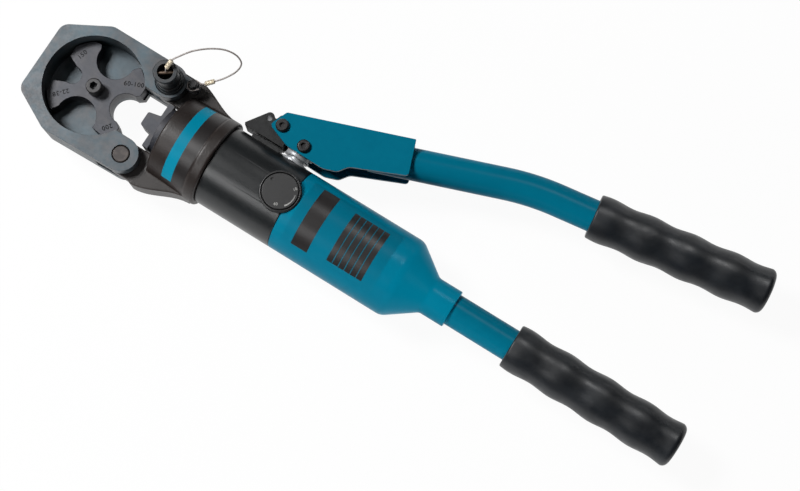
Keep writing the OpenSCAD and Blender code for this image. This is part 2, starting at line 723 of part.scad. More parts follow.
// Ram with its piston, seal, return spring and indenter
module screw_spots() for (side = [-1, 1]) translate([0, side * indenter_screw_y, 0]) children();
module ram() placed() color("DimGray") difference() {
  spun_x(0, [
    [0, head_front], [ram_head_d / 2, head_front], [ram_head_d / 2, head_rear - bevel],
    [ram_head_d / 2 - bevel, head_rear], [ram_d / 2, head_rear], [ram_d / 2, piston_front],
    [bore_d / 2, piston_front], [bore_d / 2, piston_front + (piston_len - seal_len) / 2],
    [bore_d / 2 - seal_depth, piston_front + (piston_len - seal_len) / 2],
    [bore_d / 2 - seal_depth, piston_front + (piston_len + seal_len) / 2],
    [bore_d / 2, piston_front + (piston_len + seal_len) / 2], [bore_d / 2, piston_rear], [0, piston_rear]]);
  screw_spots() rod_x(head_front - over, indenter_screw_depth + 2 * over, indenter_screw_d + 2 * run_gap);
}
module piston_seal() placed() color("Black") difference() {
  rod_x(piston_front + (piston_len - seal_len) / 2 + run_gap, seal_len - 2 * run_gap, bore_d);
  rod_x(piston_front, piston_len, bore_d - 2 * seal_depth + 2 * run_gap);
}
module return_spring() placed() color("Gray") translate([spring_start + seat_gap, 0, 0]) rotate([0, 90, 0])
  coil(spring_r, piston_front - spring_start - 2 * seat_gap, spring_curls, spring_wire);
module indenter() placed() color("DimGray") difference() {
  slab(-indenter_h / 2, indenter_h) polygon(rounded(
    [[tip_x, -indenter_tip_w / 2], [plate_front, -indenter_root_w / 2], [plate_front, -ram_head_d / 2],
     [head_front, -ram_head_d / 2], [head_front, ram_head_d / 2], [plate_front, ram_head_d / 2],
     [plate_front, indenter_root_w / 2], [tip_x, indenter_tip_w / 2]],
    [tip_r, edge, bevel, 0, 0, bevel, edge, tip_r]));
  screw_spots() {
    rod_x(plate_front - over, indenter_plate_t + 2 * over, indenter_screw_d + 2 * run_gap);
    rod_x(plate_front - over, indenter_screw_head_h + over, indenter_screw_head_d + 2 * run_gap);
  }
}
module indenter_screws() placed() color("Black") screw_spots() difference() {
  spun_x(0, [
    [0, plate_front + run_gap], [indenter_screw_head_d / 2, plate_front + run_gap],
    [indenter_screw_head_d / 2, plate_front + indenter_screw_head_h],
    [indenter_screw_d / 2, plate_front + indenter_screw_head_h],
    [indenter_screw_d / 2, head_front + indenter_screw_depth], [0, head_front + indenter_screw_depth]]);
  translate([plate_front - over, 0, 0]) rotate([0, 90, 0])
    cylinder(h = over + indenter_screw_head_h / 2, d = indenter_screw_key, $fn = 6);
}

// Pump body with its cylinder, pump bore, oilways, dial boss and seat for the lug
module pump_body() placed() color("Black") difference() {
  union() {
    spun_x(0, [
      [0, body_front - neck_len + bevel], [neck_d / 2, body_front - neck_len + bevel],
      [neck_d / 2, body_front], [body_r - bevel, body_front], [body_r, body_front + bevel],
      [body_r, body_rear - bevel], [body_r - bevel, body_rear], [spigot_d / 2, body_rear],
      [spigot_d / 2, spigot_rear - edge], [spigot_d / 2 - edge, spigot_rear],
      [boss_d / 2, spigot_rear], [boss_d / 2, spigot_rear + boss_len], [0, spigot_rear + boss_len]]);
    rod_z(dial_x, dial_offset, 0, dial_seat_z, dial_seat_d);
  }
  rod_x(body_front - neck_len, cylinder_end - body_front + neck_len, bore_d + 2 * run_gap);
  rod_z(dial_x, dial_offset, dial_seat_z, body_d, dial_seat_d + 2 * seat_gap);
  rod_z(dial_x, dial_offset, relief_top - relief_len, relief_len, relief_d + 2 * run_gap);
  rod_z(dial_x, dial_offset, relief_top - over, relief_cover + 2 * over, dial_stem_d + 2 * run_gap);
  rod_y(plunger_x, pump_low, body_r, plunger_d + 2 * run_gap);
  rod_y(plunger_x, pump_face, body_r, spot_d);
  rod_y(plunger_x, pump_seal_y, pump_seal_len, plunger_d + 2 * pump_seal_w + 2 * run_gap);
  translate([0, oilway_y, 0]) {
    rod_x(cylinder_end - over, spigot_rear + boss_len - cylinder_end + 2 * over, oilway_d);
    rod_x(delivery_x, valve_len, valve_d);
    rod_x(suction_x, valve_len, valve_d);
  }
  translate([pivot_x - lug_base_front - seat_gap, lug_face, -trigger_t / 2 - seat_gap])
    cube([lug_base_front + lug_base_rear + 2 * seat_gap, body_r, trigger_t + 2 * seat_gap]);
  rod_y(release_x, lug_face - release_sink, body_r, release_d + 2 * run_gap);
}
module check_balls() placed() color("Silver") translate([0, oilway_y, 0]) {
  translate([delivery_x + valve_len - ball_seat, 0, 0]) rotate([0, 90, 0]) sphere(d = valve_ball_d);
  translate([suction_x + valve_len - ball_seat, 0, 0]) rotate([0, 90, 0]) sphere(d = valve_ball_d);
}
module check_springs() placed() color("Gray") translate([0, oilway_y, 0])
  for (x = [delivery_x, suction_x]) translate([x + seat_gap, 0, 0]) rotate([0, 90, 0])
    coil((valve_ball_d - valve_wire) / 4, valve_len - ball_seat - valve_ball_d / 2 + seat_gap,
         valve_curls, valve_wire);

// Setting dial in its rim, over the relief cartridge
module setting_dial() placed() color("Black") translate([dial_x, dial_offset, dial_seat_z]) difference() {
  union() {
    rotate_extrude() polygon([
      [0, move_gap], [dial_d / 2, move_gap], [dial_d / 2, move_gap + dial_t - bevel],
      [dial_d / 2 - bevel, move_gap + dial_t], [0, move_gap + dial_t]]);
    translate([0, 0, move_gap - relief_cover]) cylinder(h = relief_cover, d = dial_stem_d);
  }
  rotate([0, 0, dial_dot_turn])
    translate([0, dial_dot_share * dial_d / 2, move_gap + dial_t - dial_dot_depth])
      cylinder(h = dial_dot_depth + over, d = dial_dot_d);
}
module dial_rim() placed() color("DarkSlateGray") translate([dial_x, dial_offset, dial_seat_z])
  rotate_extrude() polygon([
    [dial_d / 2 + move_gap, 0], [dial_seat_d / 2, 0], [dial_seat_d / 2, dial_rim_h - bevel],
    [dial_seat_d / 2 - bevel, dial_rim_h], [dial_d / 2 + move_gap, dial_rim_h]]);
module relief_cartridge() placed() color("Goldenrod") difference() {
  rod_z(dial_x, dial_offset, relief_top - relief_len + seat_gap, relief_len - 2 * seat_gap, relief_d);
  translate([dial_x - relief_d, dial_offset - relief_slot_w / 2, relief_top - bevel - seat_gap])
    cube([2 * relief_d, relief_slot_w, over]);
}

// Pump lug, release trigger and the pin that it presses
module pump_lug() placed() color("Black") difference() {
  union() {
    translate([pivot_x - lug_base_front, lug_face, -trigger_t / 2])
      cube([lug_base_front + lug_base_rear, lug_base_h, trigger_t]);
    slab(-lug_t / 2, lug_t) {
      translate([pivot_x, pivot_y]) circle(r = lug_boss_r);
      translate([pivot_x - lug_boss_r, lug_top - edge]) square([2 * lug_boss_r, pivot_y - lug_top + edge]);
    }
  }
  rod_z(pivot_x, pivot_y, -lug_t, 2 * lug_t, lever_pin_d + 2 * run_gap);
  rod_y(release_x, lug_face - over, 2 * over + lug_base_h, release_d + 2 * run_gap);
  rod_y(release_x, lug_face - over, over + release_chamber_h, release_chamber_d);
}
module release_trigger() placed() color("Black") translate([pivot_x, pivot_y, 0]) difference() {
  low = trigger_low - pivot_y;
  slab(-trigger_t / 2, trigger_t) polygon(rounded(
    [[-trigger_nose, low + trigger_tip_h], trigger_apex, trigger_saddle, [-trigger_boss, trigger_top],
     [trigger_heel, trigger_top], [trigger_heel, low], [edge - trigger_nose, low]],
    [bevel, trigger_apex_r, edge, 2 * edge, 5 * edge, edge, bevel]));
  translate([-trigger_slot, low - over, -lug_t / 2 - move_gap])
    cube([2 * trigger_nose, 2 * trigger_nose, lug_t + 2 * move_gap]);
  rod_z(0, 0, -trigger_t, 2 * trigger_t, lever_pin_d + 2 * run_gap);
  rod_z(lanyard_at.x, lanyard_at.y, -trigger_t, 2 * trigger_t, lanyard_d);
}
module release_pin() placed() color("Silver") {
  low = lug_face - release_sink + release_chamber_h / 2;
  collar = lug_face + release_chamber_h - release_collar_t - seat_gap;
  translate([release_x, 0, 0]) rotate([-90, 0, 0]) rotate_extrude() polygon([
    [0, low], [release_d / 2, low], [release_d / 2, collar], [release_collar_d / 2, collar],
    [release_collar_d / 2, collar + release_collar_t], [release_d / 2, collar + release_collar_t],
    [release_d / 2, trigger_low - move_gap - bevel], [release_d / 2 - bevel, trigger_low - move_gap],
    [0, trigger_low - move_gap]]);
}
module release_spring() placed() color("Gray") translate([release_x, lug_face + seat_gap, 0])
  rotate([-90, 0, 0]) coil((release_d + release_collar_d + 2 * run_gap) / 4,
    release_chamber_h - release_collar_t - 3 * seat_gap, release_curls, release_wire);

// Plunger with a slotted eye, its gland and seal
module pump_plunger() placed() color("Silver") difference() {
  union() {
    translate([plunger_x, 0, 0]) rotate([-90, 0, 0]) rotate_extrude() polygon([
      [0, plunger_low], [plunger_d / 2 - bevel, plunger_low], [plunger_d / 2, plunger_low + bevel],
      [plunger_d / 2, plunger_head_low], [plunger_head_d / 2 - bevel, plunger_head_low],
      [plunger_head_d / 2, plunger_head_low + bevel],
      [plunger_head_d / 2, plunger_head_low + plunger_head_h - bevel],
      [plunger_head_d / 2 - bevel, plunger_head_low + plunger_head_h],
      [0, plunger_head_low + plunger_head_h]]);
    eye_low = plunger_head_low + plunger_head_h - edge;
    eye_high = plunger_pin_at.y + lever_pin_d / 2 + eye_gap + eye_wall;
    slab(-eye_t / 2, eye_t) polygon(rounded(
      [[plunger_pin_at.x - eye_half, eye_low], [plunger_pin_at.x - eye_half, eye_high],
       [plunger_pin_at.x + eye_half, eye_high], [plunger_pin_at.x + eye_half, eye_low]],
      [0, eye_round, eye_round, 0]));
  }
  slab(-eye_t, 2 * eye_t) translate(plunger_pin_at) {
    for (side = [-1, 1]) translate([side * eye_play, 0]) circle(d = lever_pin_d + 2 * eye_gap);
    translate([-eye_play, -lever_pin_d / 2 - eye_gap]) square([2 * eye_play, lever_pin_d + 2 * eye_gap]);
  }
}
module plunger_gland() placed() color("Goldenrod") difference() {
  rod_y(plunger_x, pump_face, gland_h, gland_d);
  rod_y(plunger_x, 0, body_r + gland_h + over, plunger_d + 2 * run_gap);
}
module plunger_seal() placed() color("Black") difference() {
  rod_y(plunger_x, pump_seal_y + run_gap, pump_seal_len - 2 * run_gap, plunger_d + 2 * pump_seal_w);
  rod_y(plunger_x, 0, body_r, plunger_d + 2 * run_gap);
}

// Lever: pressed channel, bent tube, grip and two pins
module cheek_outline() polygon(rounded(
  [[channel_brow, channel_top], [channel_len, channel_top], [channel_len, -channel_low],
   [heel_reach, -heel_drop], [belly_reach + belly_half, -belly_drop],
   [belly_reach - belly_half, -belly_drop], [toe_reach, -toe_drop], [-channel_front, -channel_chin]],
  [channel_corner, bevel, channel_corner, heel_round, belly_round, toe_round, toe_round, channel_corner]));
module lever_channel() placed() color("Teal") lever_frame() difference() {
  union() {
    slab(channel_half, channel_wall) cheek_outline();
    slab(-cheek_z, channel_wall) cheek_outline();
    slab(-channel_half - bevel, 2 * channel_half + 2 * bevel)
      translate([spine_front, channel_top - channel_wall])
        square([channel_len - spine_front - bevel, channel_wall]);
  }
  rod_z(0, 0, -cheek_z - over, 2 * cheek_z + 2 * over, lever_pin_d + 2 * run_gap);
  rod_z(crank_len, -crank_drop, -cheek_z - over, 2 * cheek_z + 2 * over, lever_pin_d + 2 * run_gap);
}
module pipe_x(x, len) difference() {
  rod_x(x, len, tube_d);
  rod_x(x - over, len + 2 * over, tube_d - 2 * tube_wall);
}
function bend_at(a) = [bend_reach - bend_len + bend_r * sin(a), -tube_drop - bend_r * (1 - cos(a)), 0];
lever_path = concat(
  [[lever_tube_front, -tube_drop, 0]],
  [for (i = [0:bend_steps]) bend_at(bend_angle * i / bend_steps)],
  [[bend_reach + (grip_run - tube_inset) * cos(bend_angle),
    -tube_drop - (grip_run - tube_inset) * sin(bend_angle), 0]]);
module lever_tube() placed() color("Teal") lever_frame()
  swept_pipe(lever_path, tube_d / 2, tube_d / 2 - tube_wall, tube_sides);
function grip_r(x) = x < grip_flange ? grip_d / 2 :
  grip_d / 2 - grip_waist / 4 * (1 + cos(360 * (x - grip_first) / grip_pitch));
module grip(x) {
  bore_r = tube_d / 2 + seat_gap;
  last = grip_len - grip_end_r;
  spun_x(x, concat(
    [[bore_r, 0], [grip_d / 2 - edge, 0]],
    [for (i = [0:grip_steps]) let (s = edge + (last - edge) * i / grip_steps) [grip_r(s), s]],
    [for (i = [1:6]) [grip_r(last) - grip_end_r * (1 - cos(15 * i)), last + grip_end_r * sin(15 * i)]],
    [[0, grip_len], [0, grip_len - grip_end_t], [bore_r, grip_len - grip_end_t]]));
}
module lever_grip() placed() color("DarkSlateGray") grip_frame() grip(grip_gap);
module lever_pin(at) lever_frame() translate(at) difference() {
  low = -cheek_z - seat_gap - clip_t - pin_tail;
  r = lever_pin_d / 2;
  high = cheek_z + pin_head_h;
  rotate_extrude() polygon([
    [0, low], [r - bevel, low], [r, low + bevel], [r, cheek_z], [pin_head_d / 2, cheek_z],
    [pin_head_d / 2, high - edge], [pin_head_d / 2 - edge, high], [0, high]]);
  translate([0, 0, high - pin_key_depth]) cylinder(h = pin_key_depth + over, d = pin_key, $fn = 6);
}
module pivot_pin() placed() color("DimGray") lever_pin([0, 0, 0]);
module plunger_pin() placed() color("DimGray") lever_pin([crank_len, -crank_drop, 0]);
module lever_pin_clips() placed() color("Black") lever_frame()
  for (at = [[0, 0], [crank_len, -crank_drop]]) translate([at.x, at.y, -cheek_z - seat_gap - clip_t])
    difference() {
      cylinder(h = clip_t, d = lever_pin_d + 2 * run_gap + 2 * clip_w);
      translate([0, 0, -over]) cylinder(h = clip_t + 2 * over, d = lever_pin_d + 2 * run_gap);
      translate([0, -clip_w, -over]) cube([lever_pin_d, 2 * clip_w, clip_t + 2 * over]);
    }

// Reservoir sleeve with its cone, bladder inside, handle tube and grip
module reservoir_sleeve() placed() color("Teal") difference() {
  inner_r = body_r - reservoir_wall;
  seat_r = tube_d / 2 + seat_gap;
  spun_x(0, concat(
    [[inner_r, body_rear + seat_gap]],
    rounded([[body_r, body_rear + seat_gap], [body_r, reservoir_rear], [tube_collar_d / 2, cone_rear],
             [tube_collar_d / 2, collar_rear]], [bevel, cone_round, cone_round, bevel]),
    [[seat_r, collar_rear], [seat_r, cone_rear - tube_lap - seat_gap],
     [inner_r, reservoir_rear - reservoir_wall]]));
  rod_z(dial_x, dial_offset, 0, body_d, dial_seat_d + 2 * move_gap);
}
module oil_bladder() placed() color("Black") {
  low = spigot_rear + seat_gap;
  inner = bladder_d / 2 - bladder_wall;
  spun_x(low, concat(
    [[inner, 0]],
    rounded([[bladder_d / 2, 0], [bladder_d / 2, bladder_len], [0, bladder_len]], [bevel, bladder_end_r, 0]),
    rounded([[0, bladder_len - bladder_wall], [inner, bladder_len - bladder_wall], [inner, 0]],
            [0, bladder_end_r - bladder_wall, 0])));
}
module bladder_band() placed() color("Silver") difference() {
  rod_x(spigot_rear + band_place, band_len, bladder_d + 2 * run_gap + 2 * band_t);
  rod_x(spigot_rear, band_place + band_len + over, bladder_d + 2 * run_gap);
}
module handle_tube() placed() color("Teal") pipe_x(tube_front, grip_end_x - tube_inset - tube_front);
module handle_grip() placed() color("DarkSlateGray") grip(grip_x);

// Least gaps of the wound springs, measured on their own points
echo(return_spring_gap = least_gap(
  coil_path(spring_r, piston_front - spring_start - 2 * seat_gap - spring_wire, spring_curls), spring_wire));
echo(check_spring_gap = least_gap(coil_path((valve_ball_d - valve_wire) / 4,
  valve_len - ball_seat - valve_ball_d / 2 + seat_gap - valve_wire, valve_curls), valve_wire));
echo(release_spring_gap = least_gap(coil_path((release_d + release_collar_d + 2 * run_gap) / 4,
  release_chamber_h - release_collar_t - 3 * seat_gap - release_wire, release_curls), release_wire));

jaw_frame();
die_turret();
turret_screw();
index_plunger();
hinge_pin();
hinge_clip();
lock_bush();
lock_pin();
lock_cross_bar();
tether_wire();
tether_ferrules();
tether_post();
yoke();
rod_wiper();
ram();
piston_seal();
return_spring();
indenter();
indenter_screws();
pump_body();
check_balls();
check_springs();
setting_dial();
dial_rim();
relief_cartridge();
pump_lug();
release_trigger();
release_pin();
release_spring();
pump_plunger();
plunger_gland();
plunger_seal();
lever_channel();
lever_tube();
lever_grip();
pivot_pin();
plunger_pin();
lever_pin_clips();
reservoir_sleeve();
oil_bladder();
bladder_band();
handle_tube();
handle_grip();
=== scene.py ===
import json
import math
import bpy
import bmesh
from mathutils import Matrix, Vector


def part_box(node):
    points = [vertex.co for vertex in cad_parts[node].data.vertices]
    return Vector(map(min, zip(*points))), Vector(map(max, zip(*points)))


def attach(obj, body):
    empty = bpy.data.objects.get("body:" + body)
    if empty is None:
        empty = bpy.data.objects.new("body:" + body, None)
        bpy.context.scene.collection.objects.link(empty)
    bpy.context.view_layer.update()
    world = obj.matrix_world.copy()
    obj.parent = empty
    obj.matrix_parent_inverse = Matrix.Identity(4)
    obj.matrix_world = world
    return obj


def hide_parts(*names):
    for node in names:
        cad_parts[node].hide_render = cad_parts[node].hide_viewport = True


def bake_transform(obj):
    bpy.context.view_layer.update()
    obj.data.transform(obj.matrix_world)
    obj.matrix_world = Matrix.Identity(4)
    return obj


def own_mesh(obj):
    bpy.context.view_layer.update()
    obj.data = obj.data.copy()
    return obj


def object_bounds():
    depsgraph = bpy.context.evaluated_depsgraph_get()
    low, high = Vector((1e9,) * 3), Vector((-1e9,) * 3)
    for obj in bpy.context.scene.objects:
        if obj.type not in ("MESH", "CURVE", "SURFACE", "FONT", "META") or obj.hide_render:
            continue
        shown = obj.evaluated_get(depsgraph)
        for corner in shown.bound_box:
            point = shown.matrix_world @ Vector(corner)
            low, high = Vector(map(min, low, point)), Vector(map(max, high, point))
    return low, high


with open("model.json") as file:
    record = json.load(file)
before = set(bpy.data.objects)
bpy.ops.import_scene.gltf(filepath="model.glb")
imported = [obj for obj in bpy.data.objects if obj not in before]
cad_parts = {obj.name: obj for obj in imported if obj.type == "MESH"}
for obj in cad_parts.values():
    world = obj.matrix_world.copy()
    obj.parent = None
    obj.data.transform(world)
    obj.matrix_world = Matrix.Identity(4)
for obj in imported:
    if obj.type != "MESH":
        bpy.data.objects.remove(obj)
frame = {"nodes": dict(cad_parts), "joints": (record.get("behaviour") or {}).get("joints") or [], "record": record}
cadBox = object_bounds()
scene = bpy.context.scene
scene.view_settings.view_transform = "Standard"
mm = 0.001
fullTurn = 2 * math.pi
turretAxis = Vector(next(j["pos_m"] for j in frame["joints"] if j["name"] == "turret_turn"))
bodyOf = {n: b for b, nodes in frame["record"]["behaviour"]["bodies"].items() for n in nodes}
print("frame loaded:", len(frame["nodes"]), "nodes")


def toolPoint(x, y, z):  # millimetres from the turret axis, on the ram axis
    return turretAxis + Vector((x, y, z)) * mm


def addObject(name, data):
    obj = bpy.data.objects.new(name, data)
    scene.collection.objects.link(obj)
    return obj


# camera at the photograph's angle
cameraSet = {"place": (337.4, -147.2, 1063.3), "look": (234.15, 18.37, 0), "right": (0.8486, 0.5290, 0),
             "lens": 72, "sensor": 36, "near": 0.01}


def placeCamera(s):
    data = bpy.data.cameras.new("photoCamera")
    data.lens = s["lens"]
    data.sensor_width = s["sensor"]
    data.sensor_fit = "HORIZONTAL"
    data.clip_start = s["near"]
    cam = addObject("photoCamera", data)
    place, look, right = toolPoint(*s["place"]), toolPoint(*s["look"]), Vector(s["right"])
    back = (place - look).normalized()
    right = (right - back * back.dot(right)).normalized()
    up = back.cross(right)
    cam.matrix_world = Matrix.Translation(place) @ Matrix((right, up, back)).transposed().to_4x4()
    scene.camera = cam


placeCamera(cameraSet)
print("camera placed")


# small mesh tools
def newPiece(name, verts, faces):
    mesh = bpy.data.meshes.new(name)
    mesh.from_pydata([tuple(v) for v in verts], [], faces)
    mesh.update()
    return addObject(name, mesh)


def smoothOver(obj, angle=40):  # smooth shading that keeps corners sharper than angle
    obj.data.shade_smooth()
    obj.data.set_sharp_from_angle(angle=math.radians(angle))


def bakeModifiers(obj):
    graph = bpy.context.evaluated_depsgraph_get()
    mesh = bpy.data.meshes.new_from_object(obj.evaluated_get(graph))
    obj.modifiers.clear()
    old = obj.data
    obj.data = mesh
    bpy.data.meshes.remove(old)


def dress(obj, body, node, material):  # ride, stand for a node, take a finish
    obj.data.materials.clear()
    obj.data.materials.append(material)
    if body:
        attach(obj, body)
    if node:
        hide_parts(node)
    return obj


copySet = {"weld": 2e-6, "flat": 0.1}  # metres, degrees


def solidCopy(node, name, s=copySet):  # the CAD solid as a clean mesh of its own
    src = frame["nodes"][node]
    mesh = src.data.copy()
    mesh.transform(src.matrix_world)
    obj = addObject(name, mesh)
    bm = bmesh.new()
    bm.from_mesh(mesh)
    bmesh.ops.remove_doubles(bm, verts=bm.verts, dist=s["weld"])
    bmesh.ops.dissolve_limit(bm, angle_limit=math.radians(s["flat"]), verts=bm.verts, edges=bm.edges)
    bmesh.ops.recalc_face_normals(bm, faces=bm.faces)
    bm.to_mesh(mesh)
    bm.free()
    return obj


breakSet = {"sharper": 30, "segments": 2, "weight": 60}  # corners sharper than this many degrees


def brokenEdges(node, name, width, s=breakSet):  # that copy with its edges broken by a small round
    obj = solidCopy(node, name)
    mod = obj.modifiers.new("edgeBreak", "BEVEL")
    mod.width = width * mm
    mod.segments = s["segments"]
    mod.limit_method = "ANGLE"
    mod.angle_limit = math.radians(s["sharper"])
    mod.use_clamp_overlap = True
    bakeModifiers(obj)
    smoothOver(obj)
    mod = obj.modifiers.new("evenNormals", "WEIGHTED_NORMAL")  # flat faces stay flat beside their rounds
    mod.keep_sharp = True
    mod.weight = s["weight"]
    bakeModifiers(obj)
    return obj


def circle(r, sides):
    turns = [fullTurn * k / sides for k in range(sides)]
    return [(r * math.cos(a), r * math.sin(a)) for a in turns]


def latheX(name, profile, sides, closed=False):  # turns (x, r) in millimetres about the ram axis, x rising
    verts = [toolPoint(x, y, z) for x, r in profile for y, z in circle(r, sides)]
    faces, n = [], len(profile)
    for i in range(n if closed else n - 1):
        for j in range(sides):
            a, b = i * sides + j, i * sides + (j + 1) % sides
            c, d = ((i + 1) % n) * sides + (j + 1) % sides, ((i + 1) % n) * sides + j
            faces.append((a, b, c, d))
    return newPiece(name, verts, faces)


def roundedLine(points, radii, steps=8):  # a line through points with each inner corner rounded
    out = [points[0]]
    for i in range(1, len(points) - 1):
        p, r = Vector(points[i]), radii[i]
        a, b = (Vector(points[i - 1]) - p).normalized(), (Vector(points[i + 1]) - p).normalized()
        half = a.angle(b) / 2
        if r <= 0 or half > math.pi / 2 - 1e-4:  # a sharp corner, or none
            out.append(tuple(p))
            continue
        reach = r / math.tan(half)
        middle = p + (a + b).normalized() * (r / math.sin(half))
        start, stop = p + a * reach - middle, p + b * reach - middle
        for k in range(steps + 1):
            t = k / steps
            out.append(tuple(middle + (start * (1 - t) + stop * t).normalized() * r))
    return out + [points[-1]]


def tubeFaces(rings, around):  # skin and two end caps of a tube laid ring by ring
    faces = []
    for i in range(rings - 1):
        for j in range(around):
            a, b = i * around + j, i * around + (j + 1) % around
            faces.append((a, b, b + around, a + around))
    faces.append(tuple(range(around - 1, -1, -1)))
    faces.append(tuple(range((rings - 1) * around, rings * around)))
    return faces


def tubeAlong(name, path, profile, turns=0.0):  # sweeps a closed profile (u, w) along path
    n, verts = len(path), []
    tangents = [(path[min(i + 1, n - 1)] - path[max(i - 1, 0)]).normalized() for i in range(n)]
    side = tangents[0].orthogonal().normalized()
    for i, t in enumerate(tangents):
        side = (side - t * side.dot(t)).normalized()
        other = t.cross(side)
        a = turns * fullTurn * i / (n - 1)
        c, s = math.cos(a), math.sin(a)
        for u, w in profile:
            verts.append(path[i] + side * (u * c - w * s) + other * (u * s + w * c))
    return newPiece(name, verts, tubeFaces(n, len(profile)))


def smoothRoute(points, steps):  # one smooth curve through all the points
    out = []
    for i in range(len(points) - 1):
        a, b = points[max(i - 1, 0)], points[i]
        c, d = points[i + 1], points[min(i + 2, len(points) - 1)]
        bend, twist = 2 * a - 5 * b + 4 * c - d, 3 * b - a - 3 * c + d
        for s in range(steps):
            t = s / steps
            out.append(0.5 * (2 * b + (c - a) * t + bend * t * t + twist * t ** 3))
    return out + [points[-1]]


# tether: stranded wire from the lock pin's cross bar to the post on the jaw
tetherSet = {"diameter": 1.2, "strands": 6, "perStrand": 4, "groove": 0.14, "lay": 7.0, "steps": 12,
             "pinX": 42.5, "pinY": 30, "foot": 14, "rise": 22}
tetherPlan = [(0.0, 0.4, 0.955), (-0.3, 2.0, 1.055), (0.4, 5.0, 1.155), (1.1, 8.0, 1.255),
              (4.6, 12.9, 1.33), (9.5, 19.3, 1.364), (15.4, 24.8, 1.364), (21.0, 29.0, 1.327),
              (26.6, 32.2, 1.255), (31.9, 33.8, 1.155), (36.2, 33.9, 1.027), (39.3, 32.3, 0.89),
              (39.6, 29.6, 0.764), (38.1, 25.8, 0.636), (35.1, 21.7, 0.51), (31.5, 17.7, 0.4),
              (25.6, 12.2, 0.3), (22.4, 9.6, 0.218), (20.2, 8.9, 0.145), (18.0, 9.1, 0.105),
              (15.0, 9.0, 0.095), (12.6, 7.2, 0.095), (12.2, 4.6, 0.095), (13.7, 2.4, 0.095),
              (16.3, 1.7, 0.105), (18.9, 2.9, 0.127),
              (20.7, 4.9, 0.159)]  # from the lock pin's axis, height as a share of its rise


def tetherPoint(x, y, share, s=tetherSet):
    return toolPoint(s["pinX"] + x, s["pinY"] + y, s["foot"] + s["rise"] * share)


tetherPoints = [tetherPoint(*p) for p in tetherPlan]


def makeTether(s):
    path = smoothRoute(tetherPoints, s["steps"])
    length = sum((path[i + 1] - path[i]).length for i in range(len(path) - 1))
    r, around = s["diameter"] / 2 * mm, s["strands"] * s["perStrand"]
    profile = []
    for k in range(around):  # six wires laid round a core
        a = fullTurn * k / around
        q = r * (1 - s["groove"] + s["groove"] * abs(math.cos(a * s["strands"] / 2)))
        profile.append((q * math.cos(a), q * math.sin(a)))
    wire = tubeAlong("tetherWire", path, profile, turns=length / mm / s["lay"])
    wire.data.shade_smooth()
    return wire, path, length


tetherWire, tetherPath, tetherLength = makeTether(tetherSet)

# ferrules: pressed sleeves with three crimp dents
ferruleSet = {"length": 7.0, "knobSpot": 2, "postSpot": 16, "wide": 1.75, "deep": 1.5, "dents": 3,
              "dentWide": 0.1, "dentDeep": 0.42, "lip": 14, "lipShare": 0.2, "rings": 36, "around": 28,
              "smooth": 50}


def makeFerrule(name, spot, s):
    t = (tetherPoints[spot + 1] - tetherPoints[spot - 1]).normalized()
    side = t.cross(Vector((0, 0, 1))).normalized()
    rise = t.cross(side)
    verts = []
    for i in range(s["rings"] + 1):
        u = i / s["rings"]
        middle = tetherPoints[spot] + t * ((u - 0.5) * s["length"] * mm)
        dent = max(0.0, math.cos(fullTurn * (s["dents"] * u - 0.5))) ** 2
        lip = min(1.0, min(u, 1 - u) * s["lip"])
        q = (1 - s["lipShare"] + s["lipShare"] * math.sqrt(lip)) * mm
        wide, deep = s["wide"] - s["dentWide"] * dent, s["deep"] - s["dentDeep"] * dent
        verts += [middle + side * (wide * c) + rise * (deep * d) for c, d in circle(q, s["around"])]
    obj = newPiece(name, verts, tubeFaces(s["rings"] + 1, s["around"]))
    smoothOver(obj, s["smooth"])
    return obj


ferruleKnob = makeFerrule("ferruleKnob", ferruleSet["knobSpot"], ferruleSet)
ferrulePost = makeFerrule("ferrulePost", ferruleSet["postSpot"], ferruleSet)
print("tether made: %.1f mm" % (tetherLength / mm))


# finishes: shared effects as node groups
def link(tree, a, out, b, inp):
    tree.links.new(a.outputs[out], b.inputs[inp])


def newGroup(name, inputs, outputs):
    tree = bpy.data.node_groups.new(name, "ShaderNodeTree")
    for label, value in inputs.items():
        kind = "NodeSocketColor" if isinstance(value, tuple) else "NodeSocketFloat"
        sock = tree.interface.new_socket(name=label, in_out="INPUT", socket_type=kind)
        sock.default_value = value
    for label, kind in outputs.items():
        tree.interface.new_socket(name=label, in_out="OUTPUT", socket_type=kind)
    return tree, tree.nodes.new("NodeGroupInput"), tree.nodes.new("NodeGroupOutput")


def noiseNode(tree, coord, gin, scaleName, detail, warp=0.0):
    node = tree.nodes.new("ShaderNodeTexNoise")
    node.inputs["Detail"].default_value = detail
    node.inputs["Distortion"].default_value = warp
    link(tree, coord, "Object", node, "Vector")
    link(tree, gin, scaleName, node, "Scale")
    return node


def gateNode(tree, noise, low, high):  # 0 below low, 1 above high
    node = tree.nodes.new("ShaderNodeMapRange")
    node.inputs["From Min"].default_value = low
    node.inputs["From Max"].default_value = high
    link(tree, noise, "Fac", node, "Value")
    return node


def mathNode(tree, operation, *terms):  # each term is a number, or a node and one of its outputs
    node = tree.nodes.new("ShaderNodeMath")
    node.operation = operation
    for i, term in enumerate(terms):
        if isinstance(term, tuple):
            link(tree, *term, node, i)
        else:
            node.inputs[i].default_value = term
    return node


def mixTone(tree, factor, first, second):
    node = tree.nodes.new("ShaderNodeMix")
    node.data_type = "RGBA"
    link(tree, factor, "Value", node, "Factor")
    link(tree, *first, node, "A")
    link(tree, *second, node, "B")
    return node


toneSet = {"slowDetail": 3, "slowGate": (0.32, 0.68), "fineDetail": 2, "patchDetail": 5, "patchWarp": 0.6,
           "patchGate": (0.46, 0.7)}


